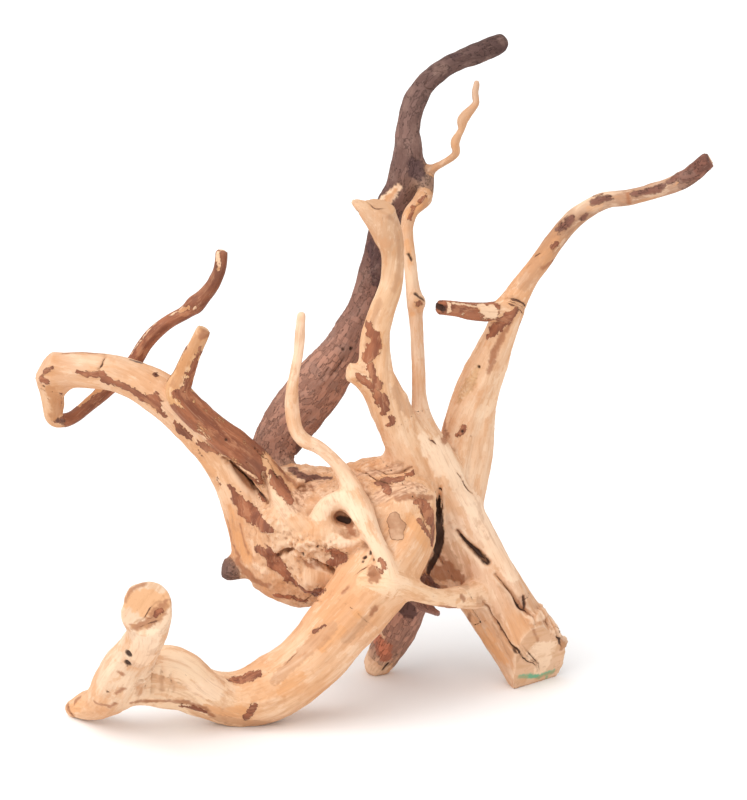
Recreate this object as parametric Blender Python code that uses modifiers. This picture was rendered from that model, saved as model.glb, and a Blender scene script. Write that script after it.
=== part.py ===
"""Sandblasted spider wood: one branching root, split into named lengths at its main forks.

The limbs are tubes along hand-set routes, the crown is a cluster of lumps, and the whole is
remeshed into one body, so that the wood swells where limbs meet. The feet and the sawn ends are
then cut flat, and thin kerfs part the lengths at the forks. Routes are in millimetres, with +Z up
and the floor at z = 0.
"""

import math

import bmesh
import bpy
from mathutils import Matrix, Vector
from mathutils.kdtree import KDTree

MM = 0.001

# Driving dimensions, in millimetres.
GRAIN_OF_MESH = 1.5
KERF = 0.3
LUMP_HEIGHT = 2.2
LUMP_LENGTH = 17.0
BURL_HEIGHT = 4.5
BURL_LENGTH = 9.0
BURL_REACH = 62.0
BURL_FADE = 16.0
BURL_SPREAD = 0.75
TRIANGLES = 8300

# The middle of the piece in the routes' own frame, which becomes the origin.
MIDDLE = (-3.2, -3.9, 0)

# The axis of each length of wood: x, y, z and the radius there.
ROUTES = {
    "front_limb": (
        (17, 13, 122, 20.5),
        (10, 1, 103, 21.5),
        (-4, -17, 82, 21.5),
        (-22, -27, 61, 20),
        (-42, -29, 38, 18.5),
        (-66, -27, 20, 18.5),
        (-85, -27, 15, 16),
        (-101, -31, 20, 15),
        (-115, -37, 29, 16),
        (-129, -43, 33, 18.5),
        (-144, -43, 31, 19),
        (-165, -30, 16, 12.5),
        (-181, -17, 6, 8),
    ),
    "front_stub": (
        (-138, -57, 46, 17),
        (-135, -71, 63, 14.5),
        (-132, -87, 81, 13.5),
        (-131, -116, 107, 13.5),
    ),
    "trunk": (
        (16, 29, 153, 12.5),
        (30, 36, 136, 16),
        (44, 43, 111, 19),
        (59, 45, 82, 21),
        (74, 41, 55, 21),
        (87, 37, 34, 21),
        (101, 33, 9, 21),
        (108, 31, -6, 21),
    ),
    "back_foot": (
        (30, 50, 115, 15),
        (27, 58, 87, 15),
        (23, 61, 60, 14.5),
        (17, 59, 44, 14),
        (10, 57, 25, 12),
        (-1, 57, 5, 8.5),
    ),
    "cross_root": (
        (-7, -33, 92, 4.5),
        (2, -34, 91, 5.5),
        (13, -30, 88, 5.5),
        (25, -19, 79, 5.5),
        (36, -6, 72, 5.5),
        (47, 8, 67, 6.5),
        (58, 24, 63, 8.5),
    ),
    "left_limb": (
        (-58, 27, 78, 20),
        (-69, 26, 92, 20),
        (-76, 25, 112, 17.5),
        (-86, 23, 138, 14.5),
        (-100, 21, 160, 12.5),
        (-115, 19, 178, 12),
        (-133, 19, 193, 11.5),
        (-154, 21, 203, 10),
        (-175, 23, 205, 10),
        (-195, 25, 205, 9.5),
    ),
    "thorn": (
        (-47, 13, 120, 11),
        (-58, 11, 134, 9),
        (-71, 9, 149, 8),
        (-85, 7, 163, 8.5),
        (-99, 5, 175, 8),
        (-111, 3, 189, 7.5),
        (-114, 2, 200, 7),
        (-111, 0, 212, 4.3),
        (-107, -2, 224, 3.5),
        (-101, -4, 235, 3),
    ),
    "hook_twig": (
        (-193, 28, 200, 7),
        (-195, 33, 186, 6),
        (-194, 38, 175, 5.5),
        (-190, 44, 171, 5.5),
        (-182, 50, 174, 5),
        (-168, 55, 182, 5),
        (-153, 59, 197, 5),
        (-139, 61, 213, 5.5),
        (-126, 61, 229, 5.5),
        (-109, 59, 240, 5),
        (-99, 57, 251, 5),
        (-94, 55, 262, 4.5),
        (-93, 53, 275, 4.5),
    ),
    "dark_branch": (
        (-46, 28, 114, 13),
        (-54, 38, 126, 12),
        (-61, 48, 138, 11.5),
        (-62, 55, 148, 12.5),
        (-54, 60, 158, 14),
        (-45, 65, 168, 15),
        (-32, 71, 185, 14),
        (-19, 77, 207, 12),
        (-10, 81, 228, 9.5),
        (-4, 83, 248, 8.5),
        (1, 84, 269, 8),
        (6, 83, 287, 9),
        (14, 81, 303, 9.5),
        (18, 79, 322, 9),
        (18, 79, 340, 7),
        (21, 81, 355, 6.5),
        (28, 85, 367, 6),
        (39, 89, 376, 5.5),
        (52, 93, 382, 5.5),
        (64, 97, 386, 6),
        (73, 99, 390, 5.5),
    ),
    "dark_twig": (
        (18, 77, 309, 3.5),
        (28, 73, 315, 2.7),
        (36, 69, 321, 2.5),
        (44, 67, 327, 2.5),
        (47, 67, 334, 2.5),
        (49, 69, 342, 2.5),
        (51, 71, 348, 3),
        (57, 73, 354, 2.5),
        (59, 75, 359, 2.3),
        (60, 77, 368, 2.2),
    ),
    "centre_branch": (
        (31, 33, 136, 13),
        (21, 26, 153, 14),
        (11, 19, 172, 12),
        (3, 13, 192, 11),
        (-1, 10, 208, 10),
        (-2, 9, 226, 9),
        (1, 9, 242, 7.5),
        (7, 9, 260, 6.3),
        (7, 9, 278, 6.3),
        (5, 9, 292, 7),
        (1, 7, 304, 8),
        (-4, 5, 309, 6),
    ),
    "slender_branch": (
        (38, 34, 136, 12),
        (32, 31, 152, 11),
        (28, 31, 165, 8),
        (25, 33, 181, 5),
        (24, 37, 202, 4),
        (23, 43, 225, 4),
        (21, 49, 245, 4),
        (20, 55, 265, 3.7),
        (19, 60, 283, 4),
        (20, 62, 293, 4.5),
        (25, 63, 301, 4.7),
    ),
    "right_branch": (
        (60, 42, 78, 12),
        (53, 45, 92, 13.5),
        (49, 49, 109, 14.5),
        (50, 53, 126, 15.5),
        (52, 55, 143, 16.5),
        (56, 57, 168, 14.5),
        (64, 57, 193, 12),
        (73, 55, 217, 9.5),
        (80, 53, 236, 8),
        (87, 51, 250, 6.2),
        (97, 49, 265, 5.5),
        (106, 47, 279, 5),
        (117, 45, 293, 5),
        (133, 41, 304, 4.5),
        (148, 37, 307, 4),
        (164, 33, 312, 4),
        (179, 29, 319, 4.5),
        (193, 25, 331, 4.5),
    ),
    "side_peg": (
        (75, 49, 235, 6),
        (64, 41, 237, 5),
        (52, 33, 241, 4),
        (35, 23, 244, 3.5),
    ),
    "eye_twig": (
        (9, -23, 94, 5.5),
        (1, -23, 107, 5.5),
        (-7, -17, 119, 6),
        (-12, -7, 133, 6.5),
        (-20, -1, 145, 5.5),
        (-29, 0, 156, 4.7),
        (-42, 0, 168, 4.5),
        (-48, 0, 177, 4.5),
        (-52, -1, 193, 4),
        (-50, -2, 212, 3.5),
        (-47, -4, 227, 3),
        (-45, -6, 244, 2.7),
    ),
}

# The lumps of the crown, and the swellings of the limbs: x, y, z and the radius.
CROWN_LUMPS = (
    (-48, 27, 107, 35),
    (-21, 27, 100, 40),
    (2, 27, 112, 36),
    (-65, 24, 87, 20),
    (-46, 23, 76, 19),
    (-22, 20, 81, 23),
    (-42, 30, 127, 14),
    (-19, 30, 125, 15),
    (13, 30, 136, 14),
    (-38, 0, 84, 10),
    (-41, -6, 108, 8),
    (-60, 2, 115, 10),
    (14, 6, 126, 16),
)
SWELLINGS = (
    (-147, -47, 47, 15),
    (-157, -45, 32, 15),
    (-193, 25, 198, 8.5),
    (-89, 27, 80, 7.5),
    (24, 44, 241, 5),
    (-110, 59, 237, 5.8),
    (-12, 7, 206, 7),
    (-18, 5, 207, 6),
    (8, 12, 306, 5.5),
    (41, 47, 73, 13),
    (-9, 4, 305, 5),
)

# How the thick limbs are laid up from fused strands: how many, how far out they lie and how thick
# each is, both as shares of the limb's radius, and how far they wind round it, in degrees.
STRANDS = {
    "front_limb": (3, 0.24, 0.80, 110),
    "trunk": (3, 0.38, 0.68, 60),
    "left_limb": (2, 0.24, 0.82, 140),
    "dark_branch": (3, 0.28, 0.78, 200),
    "right_branch": (3, 0.26, 0.80, 160),
    "centre_branch": (3, 0.30, 0.76, 200),
    "back_foot": (3, 0.36, 0.70, 80),
}

# The swirl eye on the front of the crown.
EYE_CENTRE = Vector((-23, -11, 122))
EYE_FACING = Vector((-0.1, -1, 0.25))
EYE_RADIUS = 9.5
EYE_RIM = 5.0

# Holes and splits: the middle, the way it runs, then its half length, half width and half depth.
HOLLOWS = (
    ((-21, -15, 122.5), (1, 0, -0.15), 7, 4.2, 11),
    ((57, 24, 94), (19, 0, -21), 17, 2.2, 9),
    ((87, 12, 57), (26, -14, -38), 26, 2.4, 10),
    ((-80, 10, 142), (-14, 4, 20), 14, 2.6, 9),
    ((-7, -36, 107), (0.3, 0, 1), 3.5, 3, 5),
    ((46, 13, 103), (0.1, 0.2, -1), 26, 5, 12),
    ((-142, -62, 52), (0, 0, 1), 3.5, 2.5, 5),
    ((-42, 8, 137), (1, 0, 0.2), 8, 4, 7),
    ((-32, -9, 93), (1, 0, -0.6), 9, 2, 6),
    ((-57, -6, 100), (1, 0, 0.5), 8, 2.2, 6),
    ((36, 22, 244), (1, 0.6, -0.2), 4, 2, 2),
)

# Flat cuts: a point of the cut, and the way it faces.
SAW_CUTS = (
    ((-131, -106, 101), (0.04, -0.93, 0.36)),
    ((88, 31, 0), (0.6, -0.73, -0.32)),
    ((-93, 53, 271), (0.1, -0.2, 1)),
)
SAW_CUT_REACH = 34

# Forks, where one length ends and the next begins: the middle of the kerf, the way the wood runs
# there, and how far the kerf reaches from its middle.
FORKS = {
    "front_limb": ((-16, -23, 68), (-0.6, -0.35, -0.7), 25),
    "front_stub": ((-134.5, -75, 67), (0.1, -0.65, 0.75), 19),
    "trunk": ((77, 40, 49), (0.5, -0.2, -0.85), 26),
    "back_foot": ((20, 60, 51), (-0.35, -0.1, -0.9), 18),
    "cross_root_start": ((28, -15.5, 77), (0.58, 0.7, -0.4), 9),
    "cross_root_end": ((44, 4.5, 68), (0.58, 0.78, -0.25), 9.5),
    "left_limb": ((-87, 16, 151), (-0.5, -0.07, 0.85), 27),
    "thorn": ((-114, 1.5, 198), (-0.1, -0.1, 1), 10),
    "hook_twig": ((-195, 33, 187), (-0.1, 0.3, -0.95), 9),
    "dark_branch": ((-60, 57, 151), (0.4, 0.4, 0.82), 18),
    "dark_twig": ((29, 72.5, 315.5), (0.78, -0.35, 0.5), 5),
    "centre_branch": ((8, 17, 177), (-0.4, -0.3, 0.9), 16),
    "slender_branch": ((25, 33, 178), (-0.15, 0.1, 1), 8.5),
    "right_branch": ((54, 56, 158), (0.12, 0.08, 1), 18.5),
    "side_peg": ((64.5, 41.5, 237), (-0.78, -0.58, 0.16), 7.5),
    "eye_twig": ((-38, 0, 164.5), (-0.7, 0, 0.7), 7),
}

# A point well inside each length, by which it is named. The rest are found on their routes.
CROWN_MIDDLE = (-21, 27, 100)
NAMED_AT = {
    "trunk": 5,
    "front_limb": 6,
    "front_stub": 2,
    "back_foot": 4,
    "cross_root": 4,
    "left_limb": 6,
    "thorn": 7,
    "hook_twig": 7,
    "dark_branch": 10,
    "dark_twig": 5,
    "centre_branch": 6,
    "slender_branch": 6,
    "right_branch": 9,
    "side_peg": 2,
    "eye_twig": 9,
}

# Base colour and roughness of each length.
FINISHES = {
    "root_crown": ((0.50, 0.27, 0.13), 0.85),
    "front_limb": ((0.72, 0.43, 0.22), 0.62),
    "front_stub": ((0.70, 0.42, 0.22), 0.65),
    "trunk": ((0.66, 0.40, 0.21), 0.68),
    "back_foot": ((0.16, 0.09, 0.06), 0.88),
    "cross_root": ((0.64, 0.39, 0.21), 0.68),
    "left_limb": ((0.66, 0.38, 0.19), 0.70),
    "thorn": ((0.38, 0.17, 0.09), 0.74),
    "hook_twig": ((0.27, 0.12, 0.08), 0.76),
    "dark_branch": ((0.13, 0.08, 0.06), 0.90),
    "dark_twig": ((0.55, 0.38, 0.22), 0.75),
    "centre_branch": ((0.68, 0.41, 0.22), 0.68),
    "slender_branch": ((0.70, 0.46, 0.26), 0.68),
    "right_branch": ((0.66, 0.39, 0.20), 0.68),
    "side_peg": ((0.33, 0.17, 0.10), 0.78),
    "eye_twig": ((0.70, 0.43, 0.24), 0.66),
}


def clear_scene():
    for obj in list(bpy.data.objects):
        bpy.data.objects.remove(obj)


def new_collection(name):
    collection = bpy.data.collections.new(name)
    bpy.context.scene.collection.children.link(collection)
    return collection


def put_mesh(name, mesh, collection):
    obj = bpy.data.objects.new(name, mesh)
    collection.objects.link(obj)
    return obj


def mesh_of(obj):
    """The object's mesh as its modifiers leave it, as a new mesh."""
    graph = bpy.context.evaluated_depsgraph_get()
    return bpy.data.meshes.new_from_object(obj.evaluated_get(graph))


def settle(obj):
    """Make the modifiers' result the object's own mesh."""
    mesh = mesh_of(obj)
    obj.modifiers.clear()
    obj.data = mesh


def smooth_route(points, steps=6):
    """A Catmull-Rom curve through the points, which carries the radius along as a fourth value."""
    points = [Vector(point) for point in points]
    ends = [2 * points[0] - points[1], *points, 2 * points[-1] - points[-2]]
    route = []
    for before, start, end, after in zip(ends, ends[1:], ends[2:], ends[3:]):
        for step in range(steps):
            t = step / steps
            bend = 2 * before - 5 * start + 4 * end - after
            twist = 3 * start - before - 3 * end + after
            route.append(0.5 * (2 * start + (end - before) * t + bend * t**2 + twist * t**3))
    return [*route, points[-1]]


def tube(name, route, collection):
    """A closed tube along the route, with the radius that the route carries."""
    curve = bpy.data.curves.new(name, "CURVE")
    curve.dimensions = "3D"
    curve.bevel_depth = MM
    curve.bevel_resolution = 4
    curve.use_fill_caps = True
    spline = curve.splines.new("POLY")
    spline.points.add(len(route) - 1)
    for point, (x, y, z, radius) in zip(spline.points, route):
        point.co = (x * MM, y * MM, z * MM, 1)
        point.radius = radius
    obj = put_mesh(name, curve, collection)
    mesh = mesh_of(obj)
    bpy.data.objects.remove(obj)
    weld(mesh)
    return put_mesh(name, mesh, collection)


def weld(mesh):
    shape = bmesh.new()
    shape.from_mesh(mesh)
    bmesh.ops.remove_doubles(shape, verts=shape.verts, dist=0.00001)
    shape.to_mesh(mesh)
    shape.free()


def strands_of(route, count, offset, share, winding):
    """Routes that wind round a route, each at an offset that goes with the radius."""
    side = Vector((0, 1, 0))
    frames = []
    for here, after in zip(route, [*route[1:], None]):
        if after is not None:
            along = (after.xyz - here.xyz).normalized()
        side = (side - along * side.dot(along)).normalized()
        frames.append((here, side, along.cross(side)))
    for strand in range(count):
        laid = []
        for step, (here, across, up) in enumerate(frames):
            turn = math.radians(360 * strand / count + winding * step / len(frames))
            centre = here.xyz + offset * here.w * (math.cos(turn) * across + math.sin(turn) * up)
            laid.append((*centre, share * here.w))
        yield laid


def lump(name, centre, size, collection, frame=None):
    """An ellipsoid at a point, of three half sizes along the axes of a frame."""
    shape = bmesh.new()
    bmesh.ops.create_uvsphere(shape, u_segments=20, v_segments=12, radius=1)
    turn = frame.to_4x4() if frame else Matrix.Identity(4)
    place = Matrix.Translation(Vector(centre) * MM) @ turn @ Matrix.Diagonal((*size, 1 / MM))
    shape.transform(place @ Matrix.Diagonal((MM, MM, MM, MM)))
    mesh = bpy.data.meshes.new(name)
    shape.to_mesh(mesh)
    shape.free()
    return put_mesh(name, mesh, collection)


def frame_along(direction, facing=Vector((0, -1, 0))):
    """A frame whose x runs along the direction and whose z points as nearly as it can at facing."""
    along = Vector(direction).normalized()
    out = (facing - along * facing.dot(along)).normalized()
    return Matrix((along, out.cross(along), out)).transposed()


def eye_ring(collection):
    """The rolled rim of the swirl eye."""
    bpy.ops.mesh.primitive_torus_add(
        location=EYE_CENTRE * MM,
        rotation=EYE_FACING.to_track_quat("Z", "Y").to_euler(),
        major_radius=EYE_RADIUS * MM,
        minor_radius=EYE_RIM * MM,
        major_segments=32,
        minor_segments=12,
    )
    ring = bpy.context.object
    for old in list(ring.users_collection):
        old.objects.unlink(ring)
    collection.objects.link(ring)
    return ring


def join(name, objects, collection):
    """One mesh of all the objects, in world space."""
    shape = bmesh.new()
    bpy.context.view_layer.update()
    for obj in objects:
        mesh = obj.data.copy()
        mesh.transform(obj.matrix_world)
        shape.from_mesh(mesh)
        bpy.data.meshes.remove(mesh)
        bpy.data.objects.remove(obj)
    mesh = bpy.data.meshes.new(name)
    shape.to_mesh(mesh)
    shape.free()
    return put_mesh(name, mesh, collection)


def rough_wood(collection):
    """All the limbs and lumps as overlapping closed shapes in one mesh."""
    shapes = []
    for name, points in ROUTES.items():
        route = smooth_route(points)
        laid = strands_of(route, *STRANDS[name]) if name in STRANDS else [route]
        shapes += [tube(name, strand, collection) for strand in laid]
        for end in (route[0], route[-1]):
            shapes.append(lump(name, end.xyz, [0.95 * end.w] * 3, collection))
    for x, y, z, radius in CROWN_LUMPS + SWELLINGS:
        shapes.append(lump("swelling", (x, y, z), [radius] * 3, collection))
    shapes.append(eye_ring(collection))
    return join("wood", shapes, collection)


def hollows(cutters):
    """The holes and splits as one cutter."""
    shapes = []
    for centre, direction, length, width, depth in HOLLOWS:
        frame = frame_along(direction)
        shapes.append(lump("hollow", centre, (length, width, depth), cutters, frame))
    return as_cutter(join("hollows", shapes, cutters))


def as_cutter(obj):
    obj.hide_render = True
    obj.display_type = "WIRE"
    return obj


def block(name, centre, direction, size, collection):
    """A box whose x runs along a direction."""
    shape = bmesh.new()
    bmesh.ops.create_cube(shape, size=1)
    place = Matrix.Translation(Vector(centre) * MM) @ frame_along(direction).to_4x4()
    scale = Matrix.Diagonal((*(Vector(size) * MM), 1))
    shape.transform(place @ scale)
    mesh = bpy.data.meshes.new(name)
    shape.to_mesh(mesh)
    shape.free()
    return put_mesh(name, mesh, collection)


def saw_cut(point, facing, cutters):
    """A block that takes off all the wood in front of a flat cut."""
    reach = SAW_CUT_REACH
    middle = Vector(point) + Vector(facing).normalized() * reach / 2
    return as_cutter(block("saw_cut", middle, facing, (reach, 2 * reach, 2 * reach), cutters))


def floor_cut(cutters):
    """A block that takes off all the wood below the floor, which leaves the feet flat."""
    return as_cutter(block("floor_cut", (0, 0, -50), (0, 0, 1), (100, 600, 600), cutters))


def kerfs(cutters):
    """Thin discs across the forks, as one cutter."""
    discs = []
    for middle, direction, reach in FORKS.values():
        shape = bmesh.new()
        bmesh.ops.create_cone(
            shape,
            cap_ends=True,
            segments=24,
            radius1=reach * MM,
            radius2=reach * MM,
            depth=KERF * MM,
        )
        turn = Vector(direction).to_track_quat("Z", "Y").to_matrix().to_4x4()
        shape.transform(Matrix.Translation(Vector(middle) * MM) @ turn)
        mesh = bpy.data.meshes.new("kerf")
        shape.to_mesh(mesh)
        shape.free()
        discs.append(put_mesh("kerf", mesh, cutters))
    return as_cutter(join("kerfs", discs, cutters))


def cut(obj, cutter):
    boolean = obj.modifiers.new("cut", "BOOLEAN")
    boolean.operation = "DIFFERENCE"
    boolean.solver = "EXACT"
    boolean.object = cutter
    settle(obj)


def crown_group(obj):
    """A vertex group that is full on the crown, which is wider than deep, and fades out beyond it."""
    group = obj.vertex_groups.new(name="crown")
    middle = Vector(CROWN_MIDDLE)
    for vertex in obj.data.vertices:
        away = vertex.co / MM - middle
        distance = Vector((away.x * BURL_SPREAD, away.y, away.z)).length
        weight = min(max((BURL_REACH - distance) / BURL_FADE, 0), 1)
        if weight > 0:
            group.add([vertex.index], weight, "REPLACE")


def displace(obj, name, kind, length, height, group=""):
    """Raise and sink the surface by a texture."""
    texture = bpy.data.textures.new(name, kind)
    texture.noise_scale = length * MM
    modifier = obj.modifiers.new(name, "DISPLACE")
    modifier.texture = texture
    modifier.texture_coords = "LOCAL"
    modifier.strength = height * MM
    modifier.mid_level = 0.5
    modifier.vertex_group = group


def remesh(obj):
    """Make one closed body of everything that overlaps in the mesh."""
    modifier = obj.modifiers.new("fuse", "REMESH")
    modifier.mode = "VOXEL"
    modifier.voxel_size = GRAIN_OF_MESH * MM
    settle(obj)


def soften(obj):
    """Round off where limbs meet and where hollows break the surface."""
    smooth = obj.modifiers.new("soften", "SMOOTH")
    smooth.factor = 0.5
    smooth.iterations = 5
    settle(obj)


def thin_out(obj):
    """Bring the triangles down to what the facets need."""
    obj.data.calc_loop_triangles()
    decimate = obj.modifiers.new("facets", "DECIMATE")
    decimate.ratio = TRIANGLES / len(obj.data.loop_triangles)
    settle(obj)


def loose_parts(mesh):
    """The separate bodies of a mesh, each as a set of its vertices' indices."""
    shape = bmesh.new()
    shape.from_mesh(mesh)
    shape.verts.ensure_lookup_table()
    seen = set()
    bodies = []
    for first in shape.verts:
        if first.index in seen:
            continue
        body = {first.index}
        front = [first]
        while front:
            vertex = front.pop()
            for link in vertex.link_edges:
                other = link.other_vert(vertex)
                if other.index not in body:
                    body.add(other.index)
                    front.append(other)
        seen |= body
        bodies.append(body)
    shape.free()
    return bodies


def take_body(mesh, name, body):
    """A mesh of one body's vertices only."""
    shape = bmesh.new()
    shape.from_mesh(mesh)
    rest = [vertex for vertex in shape.verts if vertex.index not in body]
    bmesh.ops.delete(shape, geom=rest, context="VERTS")
    part = bpy.data.meshes.new(name)
    shape.to_mesh(part)
    shape.free()
    return part


def nearest_body(mesh, bodies, point):
    """Which body has the vertex nearest to a point."""
    tree = KDTree(len(mesh.vertices))
    for vertex in mesh.vertices:
        tree.insert(vertex.co, vertex.index)
    tree.balance()
    _, index, _ = tree.find(Vector(point) * MM)
    return next(number for number, body in enumerate(bodies) if index in body)


def finish(obj):
    colour, roughness = FINISHES[obj.name]
    material = bpy.data.materials.new(obj.name)
    material.use_nodes = True
    shader = material.node_tree.nodes["Principled BSDF"]
    shader.inputs["Base Color"].default_value = (*colour, 1)
    shader.inputs["Roughness"].default_value = roughness
    shader.inputs["Metallic"].default_value = 0
    obj.data.materials.clear()
    obj.data.materials.append(material)
    obj.data.shade_smooth()
    obj.data.set_sharp_from_angle(angle=math.radians(50))


def part_at_forks(wood, collection, root):
    """Each body of the cut wood as an object, named for the length it is."""
    bodies = loose_parts(wood.data)
    places = {name: ROUTES[name][index][:3] for name, index in NAMED_AT.items()}
    places["root_crown"] = CROWN_MIDDLE
    for name, point in places.items():
        body = bodies[nearest_body(wood.data, bodies, point)]
        piece = put_mesh(name, take_body(wood.data, name, body), collection)
        piece.parent = root
        finish(piece)
    bpy.data.objects.remove(wood)


clear_scene()
pieces = new_collection("spider_wood")
cutters = new_collection("cutters")
wood = rough_wood(pieces)
remesh(wood)
cut(wood, hollows(cutters))
remesh(wood)
soften(wood)
crown_group(wood)
displace(wood, "lumps", "CLOUDS", LUMP_LENGTH, LUMP_HEIGHT)
displace(wood, "burl", "CLOUDS", BURL_LENGTH, BURL_HEIGHT, "crown")
settle(wood)
thin_out(wood)
for point, facing in SAW_CUTS:
    cut(wood, saw_cut(point, facing, cutters))
cut(wood, floor_cut(cutters))
cut(wood, kerfs(cutters))
root = bpy.data.objects.new("spider_wood", None)
root.location = -Vector(MIDDLE) * MM
pieces.objects.link(root)
part_at_forks(wood, pieces, root)
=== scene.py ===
import itertools
import math

import bmesh
import bpy
import numpy as np
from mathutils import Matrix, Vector


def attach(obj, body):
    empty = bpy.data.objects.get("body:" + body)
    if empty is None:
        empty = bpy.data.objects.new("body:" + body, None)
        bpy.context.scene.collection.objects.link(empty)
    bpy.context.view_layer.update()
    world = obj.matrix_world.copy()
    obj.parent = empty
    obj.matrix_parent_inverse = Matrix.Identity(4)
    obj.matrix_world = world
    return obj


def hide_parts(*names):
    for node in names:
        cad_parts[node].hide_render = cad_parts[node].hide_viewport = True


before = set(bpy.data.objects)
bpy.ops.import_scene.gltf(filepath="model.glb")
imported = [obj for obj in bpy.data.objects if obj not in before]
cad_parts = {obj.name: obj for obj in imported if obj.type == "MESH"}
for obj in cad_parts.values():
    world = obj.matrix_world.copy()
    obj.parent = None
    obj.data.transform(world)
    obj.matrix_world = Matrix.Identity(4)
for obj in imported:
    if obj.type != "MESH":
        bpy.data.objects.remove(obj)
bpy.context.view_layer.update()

# The camera stands in front of the piece, a little above it, and looks down at it by 15 degrees.
# Lengths are in millimetres in this script, and become metres where they reach Blender.
MM = 0.001
CAMERA_AT = (0.2, -1514.6, 599.6)
LOOKS_DOWN = 15
camera_data = bpy.data.cameras.new("camera")
camera_data.sensor_fit = "VERTICAL"
camera_data.sensor_height = 36
camera_data.lens = 120
camera = bpy.data.objects.new("camera", camera_data)
camera.location = Vector(CAMERA_AT) * MM
camera.rotation_euler = (math.radians(90 - LOOKS_DOWN), 0, 0)
bpy.context.scene.collection.objects.link(camera)
bpy.context.scene.camera = camera
bpy.context.scene.view_settings.view_transform = "Standard"

# The root crown is the knotted burl that the whole piece grew from: hard, pitted wood that
# sandblasting has stripped down to scraps of red-brown inner bark, with a swirl of grain round an
# old hole. Nothing was made or fixed: crown, limbs and twigs grew as one piece.
#
# So every limb is added to one solid, which is a grid of values. Routes, holes and marks were picked
# on the photograph. They are in millimetres from a point on the floor under the crown, and
# STANDS_AT moves that point into the frame. CELL is the grid's spacing. FUSE is how softly limbs run
# into each other, and STRAND_FUSE how softly the strands of one limb do.
STANDS_AT = np.array((3.2, 3.9, 0.0))
CELL = 1.7
CORNER = np.array((-214.0, -124.0, -9.0))
COUNT = (250, 143, 246)
FUSE = 2.4
STRAND_FUSE = 1.2
FUSE_REACH = 14
ROD_REACH = 11
FAR_OFF = 40
ONE_STRAND = (1, 0, 1, 0)
NONE_LEFT = ((0, -9), (1, -9))
solid_sum = np.zeros(COUNT, np.float32)
limbs = {}
lumps = []
hollows = []
saw_cuts = []
patches = []
cracks = []


def block_round(low, high):
    """The grid points of a box: their slices, and their x, y and z as three thin arrays."""
    first = np.clip(np.floor((np.array(low) - CORNER) / CELL), 0, COUNT).astype(int)
    last = np.clip(np.ceil((np.array(high) - CORNER) / CELL) + 1, 0, COUNT).astype(int)
    sides = [CORNER[i] + CELL * np.arange(first[i], last[i]) for i in range(3)]
    sides = [side.astype(np.float32) for side in sides]
    return tuple(map(slice, first, last)), np.meshgrid(*sides, indexing="ij", sparse=True)


def smooth_route(points, steps=6):
    """A curve through points: the Catmull-Rom cubic between each two, the radius carried along."""
    points = np.array(points, float)
    ends = np.vstack([2 * points[0] - points[1], points, 2 * points[-1] - points[-2]])
    before, start, end, after = (ends[i : len(ends) - 3 + i, None] for i in range(4))
    t = np.linspace(0, 1, steps, endpoint=False)[None, :, None]
    bend = (2 * before - 5 * start + 4 * end - after) * t**2
    twist = (3 * start - before - 3 * end + after) * t**3
    curve = 0.5 * (2 * start + (end - before) * t + bend + twist)
    return np.vstack([curve.reshape(-1, points.shape[1]), points[-1]])


def across(line):
    """Two directions across a line at each point: the last pair, turned to stay square to it."""
    along = np.diff(line[:, :3], axis=0)
    along = np.vstack([along, along[-1]])
    along /= np.linalg.norm(along, axis=1, keepdims=True)
    side = np.array((0.0, 1.0, 0.0))
    sides = []
    for way in along:
        side = side - way * (side @ way)
        side = side / np.linalg.norm(side)
        sides.append(side)
    sides = np.array(sides)
    return sides, np.cross(along, sides)


def strands_of(line, sides, ups, count, offset, share, winding):
    """Lines wound round a line: centre plus offset times radius, turned evenly along it."""
    turn = np.linspace(0, math.radians(winding), len(line))
    turn = turn[None] + np.arange(count)[:, None] * 2 * math.pi / count
    away = np.cos(turn)[..., None] * sides + np.sin(turn)[..., None] * ups
    centre = line[None, :, :3] + offset * line[None, :, 3:] * away
    return np.concatenate([centre, np.repeat(share * line[None, :, 3:], count, 0)], axis=2)


def rod(nearest, x, y, z, start, end):
    """Lower each distance to that from a tapered rod: length to its axis less the radius there."""
    reach = max(start[3], end[3]) + ROD_REACH
    low = np.minimum(start, end)[:3] - reach
    high = np.maximum(start, end)[:3] + reach
    part = []
    for side, a, b in zip((x, y, z), low, high):
        side = side.ravel()
        part.append(slice(*np.searchsorted(side, (a, b))))
    x, y, z = x[part[0]], y[:, part[1]], z[:, :, part[2]]
    way = end[:3] - start[:3]
    t = ((x - start[0]) * way[0] + (y - start[1]) * way[1] + (z - start[2]) * way[2]) / (way @ way)
    t = np.clip(t, 0, 1, dtype=np.float32)
    far = (x - start[0] - t * way[0]) ** 2 + (y - start[1] - t * way[1]) ** 2
    far = np.sqrt(far + (z - start[2] - t * way[2]) ** 2) - (start[3] + t * (end[3] - start[3]))
    view = nearest[tuple(part)]
    np.minimum(view, far, out=view)


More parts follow.
